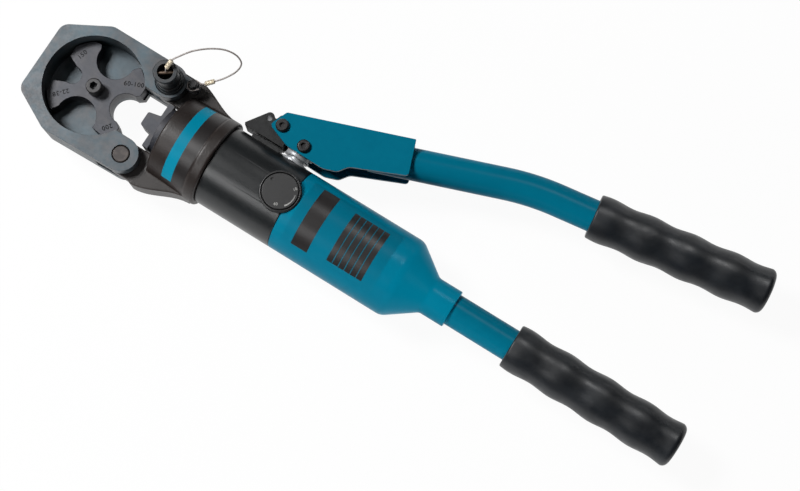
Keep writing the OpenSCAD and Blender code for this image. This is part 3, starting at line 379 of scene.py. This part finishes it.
def toneGroup(s):  # slow drift of a colour, a third tone in patches, and a fine mottle of the gloss
    tree, gin, gout = newGroup("toneDrift", {
        "Color": (0.1, 0.1, 0.1, 1), "Other": (0.2, 0.2, 0.2, 1), "Scale": 60.0, "Fine": 900.0, "Drift": 0.5,
        "Rough": 0.4, "RoughSpread": 0.15, "Patch": (0.2, 0.2, 0.2, 1), "PatchScale": 110.0,
        "PatchAmount": 0.0}, {"Color": "NodeSocketColor", "Roughness": "NodeSocketFloat"})
    coord = tree.nodes.new("ShaderNodeTexCoord")
    slow = noiseNode(tree, coord, gin, "Scale", s["slowDetail"])
    slowGate = gateNode(tree, slow, *s["slowGate"])
    patch = noiseNode(tree, coord, gin, "PatchScale", s["patchDetail"], s["patchWarp"])
    patchGate = gateNode(tree, patch, *s["patchGate"])
    amount = mathNode(tree, "MULTIPLY", (slowGate, "Result"), (gin, "Drift"))
    share = mathNode(tree, "MULTIPLY", (patchGate, "Result"), (gin, "PatchAmount"))
    tone = mixTone(tree, amount, (gin, "Color"), (gin, "Other"))
    stain = mixTone(tree, share, (tone, "Result"), (gin, "Patch"))
    fine = noiseNode(tree, coord, gin, "Fine", s["fineDetail"])
    centre = mathNode(tree, "SUBTRACT", (fine, "Fac"), 0.5)
    rough = mathNode(tree, "MULTIPLY_ADD", (centre, "Value"), (gin, "RoughSpread"), (gin, "Rough"))
    link(tree, stain, "Result", gout, "Color")
    link(tree, rough, "Value", gout, "Roughness")
    return tree


edgeWearAndSheenSet = {"detail": 4, "gate": (0.36, 0.62)}


def edgeWearAndSheenGroup(s):  # rubbed edges, and on the teal paint a painted edge highlight, kept as a mask on the mesh and broken up by noise
    tree, gin, gout = newGroup("edgeWearAndSheenTree", {
        "Color": (0.1, 0.1, 0.1, 1), "BareAndSheen": (0.4, 0.4, 0.4, 1), "Amount": 0.5, "Scale": 220.0},
        {"Color": "NodeSocketColor"})
    edge = tree.nodes.new("ShaderNodeAttribute")
    edge.attribute_name = "edgeTone"
    coord = tree.nodes.new("ShaderNodeTexCoord")
    gate = gateNode(tree, noiseNode(tree, coord, gin, "Scale", s["detail"]), *s["gate"])
    both = mathNode(tree, "MULTIPLY", (edge, "Fac"), (gate, "Result"))
    mask = mathNode(tree, "MULTIPLY", (both, "Value"), (gin, "Amount"))
    mask.use_clamp = True
    tone = mixTone(tree, mask, (gin, "Color"), (gin, "BareAndSheen"))
    link(tree, tone, "Result", gout, "Color")
    return tree


grainSet = {"detail": 5}


def grainGroup(s):  # height of a fine cast or moulded skin
    tree, gin, gout = newGroup("skinGrain", {"Scale": 900.0, "Coarse": 120.0, "Mix": 0.4},
                               {"Height": "NodeSocketFloat"})
    coord = tree.nodes.new("ShaderNodeTexCoord")
    cells = tree.nodes.new("ShaderNodeTexVoronoi")
    cells.feature = "SMOOTH_F1"
    link(tree, coord, "Object", cells, "Vector")
    link(tree, gin, "Scale", cells, "Scale")
    slow = noiseNode(tree, coord, gin, "Coarse", s["detail"])
    mix = tree.nodes.new("ShaderNodeMix")
    link(tree, gin, "Mix", mix, "Factor")
    link(tree, cells, "Distance", mix, "A")
    link(tree, slow, "Fac", mix, "B")
    link(tree, mix, "Result", gout, "Height")
    return tree


toneDrift, edgeWearAndSheenTree, skinGrain = toneGroup(toneSet), edgeWearAndSheenGroup(edgeWearAndSheenSet), grainGroup(grainSet)


def placeGroup(tree, group, values):
    node = tree.nodes.new("ShaderNodeGroup")
    node.node_tree = group
    for label, value in values.items():
        node.inputs[label].default_value = value
    return node


def rgb(r, g, b):  # colour as seen, 0 to 255, to the renderer's linear values
    shares = [c / 255 for c in (r, g, b)]
    return (*[c / 12.92 if c <= 0.04045 else ((c + 0.055) / 1.055) ** 2.4 for c in shares], 1.0)


# each finish names what differs from the base
finishBase = dict(scale=60, fine=900, drift=0.6, roughSpread=0.2, metal=0.0, specular=0.5, edgeWearAndSheen=0.0,
                  patchScale=110, patchAmount=0.0, grain=900, coarse=120, grainMix=0.4, bump=0.1,
                  depth=0.0003)
finishSet = {
    "jawSteel": dict(color=(46, 55, 61), other=(64, 82, 91), scale=45, drift=0.85, patch=(76, 70, 69),
                     patchScale=70, patchAmount=0.35, rough=0.44, roughSpread=0.3, metal=0.3,
                     bareAndSheen=(122, 104, 96), edgeWearAndSheen=0.85, grain=1600, bump=0.05),
    "turretSteel": dict(color=(47, 49, 56), other=(60, 63, 71), scale=55, patch=(72, 68, 68), patchScale=90,
                        patchAmount=0.5, rough=0.48, roughSpread=0.3, metal=0.25, bareAndSheen=(98, 95, 98), edgeWearAndSheen=0.4,
                        grain=1500, bump=0.05),
    "screwBlack": dict(color=(34, 33, 34), other=(46, 45, 46), rough=0.38, metal=0.4, bareAndSheen=(96, 94, 92),
                       edgeWearAndSheen=0.5, grain=2200, bump=0.04),
    "plainSteel": dict(color=(120, 122, 126), other=(146, 148, 150), rough=0.34, metal=0.9,
                       bareAndSheen=(180, 180, 182), edgeWearAndSheen=0.4, bump=0.03),
    "pinBrown": dict(color=(40, 36, 35), other=(54, 49, 47), scale=160, patch=(74, 67, 64), patchScale=260,
                     patchAmount=0.6, rough=0.46, metal=0.45, bareAndSheen=(130, 122, 116), edgeWearAndSheen=0.5, bump=0.06),
    "springSteel": dict(color=(108, 110, 114), other=(130, 132, 136), rough=0.32, metal=0.9, bump=0.03),
    "lockSteel": dict(color=(27, 32, 36), other=(41, 48, 53), scale=70, patch=(64, 58, 56), patchScale=150,
                      patchAmount=0.45, rough=0.4, metal=0.35, bareAndSheen=(110, 108, 106), edgeWearAndSheen=0.45, grain=1500,
                      bump=0.05),
    "brightSteel": dict(color=(168, 170, 173), other=(186, 188, 191), scale=120, rough=0.36, roughSpread=0.04,
                        metal=0.25, bump=0.0),
    "barBrown": dict(color=(96, 80, 68), other=(120, 102, 88), scale=200, rough=0.4, metal=0.6,
                     bareAndSheen=(150, 136, 120), edgeWearAndSheen=0.4, bump=0.03),
    "tetherSteel": dict(color=(150, 142, 138), other=(172, 166, 162), scale=300, rough=0.5, metal=0.3,
                        bump=0.0),
    "ferruleMetal": dict(color=(200, 186, 160), other=(224, 214, 194), scale=160, rough=0.36,
                         roughSpread=0.08, metal=0.35, bump=0.02),
    "castBrown": dict(color=(30, 23, 21), other=(42, 35, 32), scale=40, rough=0.42, roughSpread=0.25,
                      specular=0.4, bareAndSheen=(86, 75, 69), edgeWearAndSheen=0.3, grain=1100, coarse=160, grainMix=0.5,
                      bump=0.2, depth=0.0005),
    "bodyBlack": dict(color=(21, 24, 26), other=(27, 30, 32), scale=30, rough=0.32, roughSpread=0.1,
                      bareAndSheen=(88, 86, 84), edgeWearAndSheen=0.2, grain=2400, bump=0.03),
    "triggerBlack": dict(color=(21, 21, 22), other=(30, 31, 32), scale=90, rough=0.5, specular=0.22,
                         bareAndSheen=(92, 94, 94), edgeWearAndSheen=0.5, grain=1700, coarse=500, bump=0.3),
    "dialBlack": dict(color=(26, 26, 27), other=(33, 33, 34), scale=80, rough=0.42, grain=2200, bump=0.04),
    "rimGrey": dict(color=(34, 34, 35), other=(44, 44, 45), scale=120, rough=0.36, metal=0.2,
                    bareAndSheen=(104, 104, 104), edgeWearAndSheen=0.35, bump=0.03),
    "brassPlain": dict(color=(176, 146, 84), other=(200, 172, 110), rough=0.3, metal=1.0, bump=0.03),
    "sealRubber": dict(color=(26, 26, 26), other=(34, 34, 34), rough=0.7, bump=0.05),
    # the teal paint's edge tone is a lighter teal: a painted highlight on its edges, not worn paint
    "tealPaint": dict(color=(0, 109, 136), other=(0, 118, 145), scale=25, rough=0.3, roughSpread=0.06,
                      specular=0.04, bareAndSheen=(8, 132, 158), edgeWearAndSheen=0.5, coarse=260, grainMix=0.7, bump=0.03),
    "gripRubber": dict(color=(20, 23, 27), other=(28, 33, 39), scale=70, fine=130, rough=0.42,
                       roughSpread=0.35, grain=1900, coarse=300, grainMix=0.25, depth=0.0002),
    "panelTeal": dict(color=(0, 112, 139), other=(0, 117, 145), rough=0.36, roughSpread=0.05, specular=0.05,
                      bump=0.0),
    "labelTeal": dict(color=(0, 131, 160), other=(0, 135, 165), rough=0.36, roughSpread=0.05, specular=0.06,
                      bump=0.0),
    "labelBlack": dict(color=(32, 29, 29), other=(38, 35, 35), rough=0.36, roughSpread=0.08, specular=0.4,
                       bump=0.0),
    "inkDark": dict(color=(10, 10, 12), other=(14, 14, 16), rough=0.7, specular=0.2, bump=0.0),
    "inkPale": dict(color=(150, 150, 148), other=(176, 176, 172), rough=0.5, bump=0.0),
}


def finishOf(name, own):  # one surface: drifting tone, rubbed edges with a painted edge highlight on the teal paint, skin grain
    f = {**finishBase, "patch": own["other"], "bareAndSheen": own["other"], **own}
    mat = bpy.data.materials.new(name)
    mat.use_nodes = True
    tree = mat.node_tree
    shader = tree.nodes["Principled BSDF"]
    shader.inputs["Metallic"].default_value = f["metal"]
    shader.inputs["Specular IOR Level"].default_value = f["specular"]
    tone = placeGroup(tree, toneDrift, {
        "Color": rgb(*f["color"]), "Other": rgb(*f["other"]), "Scale": f["scale"], "Fine": f["fine"],
        "Drift": f["drift"], "Rough": f["rough"], "RoughSpread": f["roughSpread"],
        "Patch": rgb(*f["patch"]), "PatchScale": f["patchScale"], "PatchAmount": f["patchAmount"]})
    edgeWearAndSheen = placeGroup(tree, edgeWearAndSheenTree, {"BareAndSheen": rgb(*f["bareAndSheen"]), "Amount": f["edgeWearAndSheen"]})
    grain = placeGroup(tree, skinGrain, {"Scale": f["grain"], "Coarse": f["coarse"], "Mix": f["grainMix"]})
    bump = tree.nodes.new("ShaderNodeBump")
    bump.inputs["Strength"].default_value = f["bump"]
    bump.inputs["Distance"].default_value = f["depth"]
    link(tree, tone, "Color", edgeWearAndSheen, "Color")
    link(tree, edgeWearAndSheen, "Color", shader, "Base Color")
    link(tree, tone, "Roughness", shader, "Roughness")
    link(tree, grain, "Height", bump, "Height")
    link(tree, bump, "Normal", shader, "Normal")
    return mat


finishes = {name: finishOf(name, own) for name, own in finishSet.items()}
print("finishes made:", len(finishes))

edgeMaskSet = {"gain": 2.2}


def markEdges(obj, s=edgeMaskSet):  # how far each point stands out of its neighbours, as a mask for rubbed edges and painted edge highlights
    mesh = obj.data
    bm = bmesh.new()
    bm.from_mesh(mesh)
    bm.normal_update()
    tones = []
    for v in bm.verts:
        total = 0.0
        for e in v.link_edges:
            total += max(0.0, -v.normal.dot((e.other_vert(v).co - v.co).normalized()))
        tones.append(min(1.0, s["gain"] * total / max(1, len(v.link_edges))))
    bm.free()
    attr = mesh.attributes.new("edgeTone", "FLOAT", "POINT")
    attr.data.foreach_set("value", tones)


def refine(node, name, width, finish):
    obj = brokenEdges(node, name, width)
    markEdges(obj)
    return dress(obj, bodyOf[node], node, finishes[finish])


# the tether wire and the ferrule at the knob stay where they lie; the ferrule at the post rides with the jaw
dress(tetherWire, None, "tether_wire", finishes["tetherSteel"])
dress(ferruleKnob, None, "tether_ferrules", finishes["ferruleMetal"])
dress(ferrulePost, "jaw", "tether_ferrules", finishes["ferruleMetal"])
for piece in (tetherWire, ferruleKnob):
    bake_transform(piece)
print("tether tied")

# machined pieces with their edges broken: width of the round in millimetres and the finish
edgeSet = {
    "jaw_frame": ("jawFrame", 0.9, "jawSteel"),
    "die_turret": ("dieTurret", 0.45, "turretSteel"),
    "turret_screw": ("turretScrew", 0.3, "screwBlack"),
    "hinge_pin": ("hingePin", 0.3, "pinBrown"),
    "hinge_clip": ("hingeClip", 0.2, "screwBlack"),
    "lock_bush": ("lockBush", 0.3, "lockSteel"),
    "lock_pin": ("lockPin", 0.5, "lockSteel"),
    "lock_cross_bar": ("lockCrossBar", 0.25, "barBrown"),
    "tether_post": ("tetherPost", 0.25, "screwBlack"),
    "ram": ("ramRod", 0.3, "turretSteel"),
    "indenter": ("indenterNose", 0.4, "turretSteel"),
    "indenter_screws": ("indenterScrews", 0.2, "screwBlack"),
    "pump_body": ("pumpBody", 0.4, "bodyBlack"),
    "pump_lug": ("pumpLug", 0.5, "triggerBlack"),
    "release_trigger": ("releaseTrigger", 0.6, "triggerBlack"),
    "setting_dial": ("settingDial", 0.25, "dialBlack"),
    "dial_rim": ("dialRim", 0.3, "rimGrey"),
    "pump_plunger": ("pumpPlunger", 0.5, "brightSteel"),
    "plunger_gland": ("plungerGland", 0.25, "brightSteel"),
    "lever_channel": ("leverChannel", 0.9, "tealPaint"),
    "pivot_pin": ("pivotPin", 0.35, "screwBlack"),
    "plunger_pin": ("plungerPin", 0.35, "screwBlack"),
    "lever_pin_clips": ("leverPinClips", 0.15, "screwBlack"),
    "release_pin": ("releasePin", 0.2, "brightSteel"),
    "handle_tube": ("handleTube", 0.3, "tealPaint"),
}
edged = {node: refine(node, *row) for node, row in edgeSet.items()}
print("edges broken on", len(edged), "pieces")

# the hole near the trigger's top gets a bright steel wall inside: painted light standing for the light that shows
# through the hole
holeLightSet = {"x": 113.2, "y": 44.9, "reach": 2.15, "upright": 0.5}


def paintHoleLight(obj, s, material):
    obj.data.materials.append(material)
    axis = toolPoint(s["x"], s["y"], 0)
    for face in obj.data.polygons:
        if (face.center - axis).xy.length < s["reach"] * mm and abs(face.normal.z) < s["upright"]:
            face.material_index = 1


paintHoleLight(edged["release_trigger"], holeLightSet, finishes["plainSteel"])

# yoke: cast skin, every corner run over by a soft fillet
yokeSet = {"grid": 0.55, "passes": 5, "factor": 0.5}


def makeYoke(s):
    obj = solidCopy("yoke", "castYoke")
    skin = obj.modifiers.new("castSkin", "REMESH")
    skin.mode = "VOXEL"
    skin.voxel_size = s["grid"] * mm
    soft = obj.modifiers.new("castFillet", "SMOOTH")
    soft.factor = s["factor"]
    soft.iterations = s["passes"]
    bakeModifiers(obj)
    obj.data.shade_smooth()
    markEdges(obj)
    return dress(obj, "frame", "yoke", finishes["castBrown"])


makeYoke(yokeSet)
print("yoke cast")

# reservoir sleeve: spun skin with soft shoulders, cut round the dial
dialSet = {"x": 150.5, "y": 2.8, "face": 30.4}
sleeveSet = {"start": 158.6, "straight": 247.5, "cone": 269.0, "end": 287.0, "radius": 29.0, "collar": 13.5,
             "tube": 11.3, "wall": 2.4, "rim": 0.5, "shoulder": 11, "neck": 5, "lip": 0.6, "seat": 12,
             "coneBack": 3, "straightBack": 1, "sides": 160, "dialCut": 14.6, "cutFrom": 5, "cutTo": 60,
             "cutSides": 96}


def makeSleeve(s, dial):
    r, c, inside = s["radius"], s["collar"], s["radius"] - s["wall"]
    outline = [(s["start"], inside), (s["start"], r), (s["straight"], r), (s["cone"], c), (s["end"], c),
               (s["end"], s["tube"])]
    line = roundedLine(outline, [0, s["rim"], s["shoulder"], s["neck"], s["lip"], 0])
    line += [(s["end"] - s["seat"], s["tube"]), (s["cone"] - s["coneBack"], c - s["wall"]),
             (s["straight"] - s["straightBack"], inside)]
    obj = latheX("reservoirSleeve", line, s["sides"], closed=True)
    ring = circle(s["dialCut"], s["cutSides"])
    verts = [toolPoint(dial["x"] + u, dial["y"] + w, z) for z in (s["cutFrom"], s["cutTo"]) for u, w in ring]
    knife = newPiece("dialKnife", verts, tubeFaces(2, s["cutSides"]))
    cutter = obj.modifiers.new("dialCut", "BOOLEAN")
    cutter.object = knife
    cutter.operation = "DIFFERENCE"
    bakeModifiers(obj)
    bpy.data.objects.remove(knife)
    smoothOver(obj)
    markEdges(obj)
    return dress(obj, "frame", "reservoir_sleeve", finishes["tealPaint"])


sleeve = makeSleeve(sleeveSet, dialSet)
print("sleeve spun")

# lever tube: one bent pipe
leverSet = {"pivotX": 124.5, "pivotY": 44.0, "angle": 19.8, "start": 62.0, "bend": 174.5, "turn": 12.2,
            "radius": 180.0, "drop": 4.35, "tail": (60, 100, 140, 168.0), "outer": 11.25, "wall": 2.2,
            "straightSteps": 12, "bendSteps": 24, "boreRings": 3, "sides": 96}


def leverPoint(along, drop, s=leverSet):  # in the lever's own line, millimetres from its pivot
    c, d = math.cos(math.radians(s["angle"])), math.sin(math.radians(s["angle"]))
    return toolPoint(s["pivotX"] + along * c + drop * d, s["pivotY"] + along * d - drop * c, 0)


def openTube(name, path, r, s):  # a tube without its first end cap
    obj = tubeAlong(name, path, circle(r * mm, s["sides"]))
    bm = bmesh.new()
    bm.from_mesh(obj.data)
    caps = [f for f in bm.faces if len(f.verts) == s["sides"]]
    first = min(caps, key=lambda f: (f.calc_center_median() - path[0]).length)
    bmesh.ops.delete(bm, geom=[first], context="FACES_ONLY")
    return obj, bm


def makeLeverTube(s):
    turn = math.radians(s["turn"])
    bendStart = s["bend"] - s["radius"] * math.tan(turn / 2)
    line = []
    for k in range(s["straightSteps"]):
        line.append((s["start"] + (bendStart - s["start"]) * k / s["straightSteps"], s["drop"]))
    for k in range(s["bendSteps"] + 1):
        a = turn * k / s["bendSteps"]
        line.append((bendStart + s["radius"] * math.sin(a), s["drop"] + s["radius"] * (1 - math.cos(a))))
    line += [(s["bend"] + d * math.cos(turn), s["drop"] + d * math.sin(turn)) for d in s["tail"]]
    path = [leverPoint(*p) for p in line]
    outer, skin = openTube("leverTube", path, s["outer"], s)
    inner, bore = openTube("leverBore", path[:s["boreRings"]], s["outer"] - s["wall"], s)
    bmesh.ops.reverse_faces(bore, faces=bore.faces)
    bore.to_mesh(inner.data)
    bore.free()
    skin.from_mesh(inner.data)
    bmesh.ops.bridge_loops(skin, edges=[e for e in skin.edges if e.is_boundary])
    bmesh.ops.recalc_face_normals(skin, faces=skin.faces)
    skin.to_mesh(outer.data)
    skin.free()
    bpy.data.objects.remove(inner)
    smoothOver(outer)
    markEdges(outer)
    return dress(outer, "lever", "lever_tube", finishes["tealPaint"])


makeLeverTube(leverSet)
print("lever tube bent")

# grips: moulded rubber with four finger waists
gripSet = {"length": 127.8, "across": 32.4, "waist": 2.3, "first": 23.2, "pitch": 30.2, "bore": 11.35,
           "lip": 1.2, "lipStep": 15, "steps": 150, "end": 4.0, "endStep": 9, "dimple": 9.0,
           "dimpleFloor": 8.5, "dimpleDeep": 0.3, "middle": 0.05, "sides": 128, "handleStart": 333.0,
           "leverGap": 45.0}


def gripRadius(x, s):
    return s["across"] / 2 - s["waist"] / 4 * (1 + math.cos(fullTurn * (x - s["first"]) / s["pitch"]))


def makeGrip(name, s):  # along the ram axis first, from x = 0
    lip, end = s["lip"], s["end"]
    last, floor = s["length"] - end, s["length"] - s["dimpleDeep"]
    line = [(0.0, s["bore"]), (0.0, gripRadius(0, s) - lip)]
    for a in map(math.radians, range(0, 91, s["lipStep"])):
        line.append((lip * (1 - math.cos(a)), gripRadius(lip, s) - lip * (1 - math.sin(a))))
    for k in range(1, s["steps"] + 1):
        x = lip + (last - lip) * k / s["steps"]
        line.append((x, gripRadius(x, s)))
    for a in map(math.radians, range(s["endStep"], 91, s["endStep"])):
        line.append((last + end * math.sin(a), gripRadius(last, s) - end * (1 - math.cos(a))))
    line += [(s["length"], s["dimple"]), (floor, s["dimpleFloor"]), (floor, s["middle"])]
    obj = latheX(name, line, s["sides"])
    smoothOver(obj)
    return obj


def placeGrips(s, lever):
    fixed = makeGrip("handleGrip", s)
    fixed.data.transform(Matrix.Translation(toolPoint(s["handleStart"], 0, 0) - toolPoint(0, 0, 0)))
    swing = makeGrip("leverGrip", s)
    turn = math.radians(lever["turn"])
    along = lever["bend"] + s["leverGap"] * math.cos(turn)
    drop = lever["drop"] + s["leverGap"] * math.sin(turn)
    aim = Matrix.Rotation(math.radians(lever["angle"] - lever["turn"]), 4, "Z")
    swing.data.transform(Matrix.Translation(-toolPoint(0, 0, 0)))
    swing.data.transform(Matrix.Translation(leverPoint(along, drop)) @ aim)
    dress(fixed, "frame", "handle_grip", finishes["gripRubber"])
    dress(swing, "lever", "lever_grip", finishes["gripRubber"])


placeGrips(gripSet, leverSet)
print("grips moulded")

# springs, wound finer than their solids
springSet = {
    "return_spring": dict(name="returnSpring", axis="X", turns=5, wire=3.0, joint="ram_slide", shorter=16.8),
    "release_spring": dict(name="releaseSpring", axis="Y", turns=3, wire=0.6, joint="release_slide",
                           shorter=1.0),
}
coilSet = {"perTurn": 48, "sides": 12}


def makeCoil(s, low, high, k):  # k is the number of the axis that it is wound round
    r = s["wire"] / 2 * mm
    size = Vector(high) - Vector(low)
    radius = max(size[(k + 1) % 3], size[(k + 2) % 3]) / 2 - r
    first, last = low[k] + r, high[k] - r
    path, steps = [], s["turns"] * coilSet["perTurn"]
    for i in range(steps + 1):
        a = fullTurn * s["turns"] * i / steps
        point = (Vector(low) + Vector(high)) / 2
        point[k] = first + (last - first) * i / steps
        point[(k + 1) % 3] += radius * math.cos(a)
        point[(k + 2) % 3] += radius * math.sin(a)
        path.append(point)
    obj = tubeAlong(s["name"], path, circle(r, coilSet["sides"]))
    obj.data.shade_smooth()
    return obj


for node, s in springSet.items():
    low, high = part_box(node)
    k = "XYZ".index(s["axis"])
    coil = dress(makeCoil(s, low, high, k), "frame", node, finishes["springSteel"])
    along = Vector((0, 0, 0))
    along[k] = 1
    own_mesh(coil)
print("springs wound")

# marks: sizes stamped in the turret's arms, numbers on the dial (words, x, y, turn)
markSet = {"body": 1.42, "spacing": 1.12, "thick": 0.02, "bold": 0.06, "turretFace": 3.55, "turretHigh": 3.2,
           "dialHigh": 1.9}
turretMarks = [("150", -21.6, 15.5, 74), ("22-38", -19.3, -14.6, 226), ("60-100", 20.2, 16.6, 24),
               ("200", 21.2, -18.1, 231)]
dialMarks = [("10", 7.9, 6.2, 62), ("40", 2.2, -9.0, 30)]


def makeMark(name, words, place, turn, high, s=markSet):
    data = bpy.data.curves.new(name, "FONT")
    data.body = words
    data.size = high * s["body"] * mm
    data.align_x, data.align_y = "CENTER", "CENTER"
    data.space_character = s["spacing"]
    data.extrude = s["thick"] * mm
    data.offset = s["bold"] * mm
    text = addObject(name, data)
    graph = bpy.context.evaluated_depsgraph_get()
    mesh = bpy.data.meshes.new_from_object(text.evaluated_get(graph))
    bpy.data.objects.remove(text)
    mesh.transform(Matrix.Translation(place) @ Matrix.Rotation(math.radians(turn), 4, "Z"))
    return addObject(name, mesh)


for k, (words, x, y, turn) in enumerate(turretMarks):
    place = toolPoint(x, y, markSet["turretFace"] + markSet["thick"])
    mark = makeMark("sizeMark%d" % (k + 1), words, place, turn, markSet["turretHigh"])
    dress(mark, "turret", None, finishes["inkDark"])
for k, (words, x, y, turn) in enumerate(dialMarks):
    place = toolPoint(dialSet["x"] + x, dialSet["y"] + y, dialSet["face"] + markSet["thick"])
    mark = makeMark("dialMark%d" % (k + 1), words, place, turn, markSet["dialHigh"])
    dress(mark, "dial", None, finishes["inkPale"])

# scale line that widens along the dial's edge
scaleSet = {"radius": 10.4, "wide": 1.1, "narrow": 0.25, "thick": 0.03, "from": 16, "to": -42, "steps": 32}


def makeScale(name, s, dial):
    verts, n, low, high = [], s["steps"], dial["face"], dial["face"] + s["thick"]
    for i in range(n + 1):
        a = math.radians(s["from"] + (s["to"] - s["from"]) * i / n)
        w = s["wide"] * (s["narrow"] + (1 - s["narrow"]) * i / n) / 2
        near, far = s["radius"] - w, s["radius"] + w
        for q, z in ((near, low), (far, low), (far, high), (near, high)):
            verts.append(toolPoint(dial["x"] + q * math.cos(a), dial["y"] + q * math.sin(a), z))
    return newPiece(name, verts, tubeFaces(n + 1, 4))


dialScale = makeScale("dialScale", scaleSet, dialSet)
dress(dialScale, "dial", None, finishes["inkPale"])
print("marks set")

# plain bands round the yoke's barrel, a panel with a block and bars on the sleeve
sheetSet = {"along": 12, "around": 64, "thick": 0.1}
barSet = {"count": 6, "radius": 29.12, "start": 200.0, "pitch": 4.6, "wide": 4.1, "from": -41, "to": 37.5}
labelSet = {  # radius at each end, from and to along the axis, from and to in degrees, finish, slot
    "yokeBandTeal": (30.68, 31.04, 73.5, 81.4, -66, 66, "labelTeal", "teal_paint"),
    "yokeBandBlack": (31.04, 31.44, 81.4, 90.4, -63, 69, "labelBlack", "cast_paint"),
    "sleevePanel": (29.06, 29.06, 166.0, 236.0, -52, 49, "panelTeal", "teal_paint"),
    "sleeveBlock": (29.12, 29.12, 173.5, 186.0, -48, 46, "labelBlack", "black_paint"),
}
for k in range(barSet["count"]):
    x, r = barSet["start"] + barSet["pitch"] * k, barSet["radius"]
    labelSet["sleeveBar%d" % (k + 1)] = (r, r, x, x + barSet["wide"], barSet["from"], barSet["to"],
                                         "labelBlack", "black_paint")


def wrapLabel(name, r0, r1, x0, x1, a0, a1, s=sheetSet):  # thin sheet wrapped on a round or tapered body
    nx, na, verts, faces = s["along"], s["around"], [], []
    for h in (0.0, -s["thick"]):
        for i in range(nx + 1):
            for j in range(na + 1):
                a, r = math.radians(a0 + (a1 - a0) * j / na), r0 + (r1 - r0) * i / nx + h
                verts.append(toolPoint(x0 + (x1 - x0) * i / nx, r * math.sin(a), r * math.cos(a)))
    row, top = na + 1, (nx + 1) * (na + 1)
    for i in range(nx):
        for j in range(na):
            a = i * row + j
            faces.append((a, a + 1, a + row + 1, a + row))
            faces.append((top + a, top + a + row, top + a + row + 1, top + a + 1))
    for i in range(nx):
        for a in (i * row, i * row + na):
            faces.append((a, a + row, top + a + row, top + a))
    for j in range(na):
        for a in (j, nx * row + j):
            faces.append((a, a + 1, top + a + 1, top + a))
    obj = newPiece(name, verts, faces)
    bm = bmesh.new()
    bm.from_mesh(obj.data)
    bmesh.ops.recalc_face_normals(bm, faces=bm.faces)
    bm.to_mesh(obj.data)
    bm.free()
    smoothOver(obj)
    return obj


for name, (*form, finish, slotName) in labelSet.items():
    dress(wrapLabel(name, *form), "frame", None, finishes[finish])
print("bands and panel laid:", len(labelSet))

# pieces held inside keep their CAD solid, with a finish of their own
innerSet = {
    "index_plunger": "plainSteel", "rod_wiper": "sealRubber", "piston_seal": "sealRubber",
    "check_balls": "brightSteel", "check_springs": "springSteel", "relief_cartridge": "brassPlain",
    "plunger_seal": "sealRubber", "oil_bladder": "sealRubber", "bladder_band": "plainSteel",
}
for node, finish in innerSet.items():
    obj = frame["nodes"][node]
    obj.data.materials.clear()
    obj.data.materials.append(finishes[finish])
print("inner pieces finished:", len(innerSet))

# floor and light
stageSet = {"floor": 6.0, "white": 0.97, "rough": 0.9, "specular": 0.1, "glow": 0.95, "world": 0.015}


def makeFloor(s):
    h, low = s["floor"] / 2, cadBox[0][2]
    floor = newPiece("studioFloor", [(-h, -h, low), (h, -h, low), (h, h, low), (-h, h, low)], [(0, 1, 2, 3)])
    mat = bpy.data.materials.new("studioFloor")
    mat.use_nodes = True
    tree = mat.node_tree
    shader = tree.nodes["Principled BSDF"]
    shader.inputs["Base Color"].default_value = (s["white"], s["white"], s["white"], 1)
    shader.inputs["Roughness"].default_value = s["rough"]
    shader.inputs["Specular IOR Level"].default_value = s["specular"]
    glow = tree.nodes.new("ShaderNodeEmission")
    rays = tree.nodes.new("ShaderNodeLightPath")
    seen = mathNode(tree, "MAXIMUM", (rays, "Is Camera Ray"), (rays, "Is Glossy Ray"))
    part = mathNode(tree, "MULTIPLY", (seen, "Value"), s["glow"])
    mix = tree.nodes.new("ShaderNodeMixShader")
    link(tree, part, "Value", mix, 0)
    link(tree, shader, 0, mix, 1)
    link(tree, glow, 0, mix, 2)
    link(tree, mix, 0, tree.nodes["Material Output"], "Surface")
    floor.data.materials.append(mat)


def makeWorld(s):  # white where only the camera sees it
    world = bpy.data.worlds.new("studioWorld")
    world.use_nodes = True
    sky = world.node_tree
    sky.nodes["Background"].inputs["Color"].default_value = (1, 1, 1, 1)
    eye = sky.nodes.new("ShaderNodeLightPath")
    level = mathNode(sky, "MULTIPLY_ADD", (eye, "Is Camera Ray"), s["glow"], s["world"])
    link(sky, level, "Value", sky.nodes["Background"], "Strength")
    scene.world = world


# soft boxes, in metres and watts: wash lights the colour, sheen shows as a highlight
lampSet = {
    "keyBox": dict(place=(-1.12, -0.04, 1.45), look=(-0.05, 0, 0), size=(0.5, 0.5), power=30.5),
    "topBox": dict(place=(0.1, 0.0, 1.5), look=(0.05, 0, 0), size=(1.4, 1.0), power=0.5, sheen=False),
    "sideBox": dict(place=(-0.4, -0.78, 1.0), look=(-0.1, 0, 0), size=(0.45, 0.5), power=4.2, wash=False),
    "lowBox": dict(place=(0.1, -1.2, 0.36), look=(0.05, 0, 0), size=(1.6, 0.35), power=7.5, sheen=False),
    "backBox": dict(place=(0.22, 1.2, 0.3), look=(0.2, 0.05, 0), size=(0.66, 0.14), power=1.0),
    "endBox": dict(place=(1.2, 0.1, 0.5), look=(0.1, 0, 0), size=(0.5, 0.5), power=12, sheen=False,
                   only=[sleeve]),
    "gripBox": dict(place=(0.04, 0.7, 1.14), look=(0.2, 0.03, 0), size=(0.26, 0.22), power=4.2, wash=False),
}


def softBox(name, place, look, size, power, wash=True, sheen=True, only=None):
    data = bpy.data.lights.new(name, "AREA")
    data.shape = "RECTANGLE"
    data.size, data.size_y = size
    data.energy = power
    lamp = addObject(name, data)
    lamp.location = place
    lamp.rotation_euler = (Vector(look) - Vector(place)).to_track_quat("-Z", "Y").to_euler()
    lamp.visible_diffuse, lamp.visible_glossy = wash, sheen
    if only:  # flagged off the other pieces
        lit = bpy.data.collections.new(name + "Lit")
        for piece in only:
            lit.objects.link(piece)
        lamp.light_linking.receiver_collection = lit


makeFloor(stageSet)
makeWorld(stageSet)
for name, lamp in lampSet.items():
    softBox(name, **lamp)
print("stage lit")
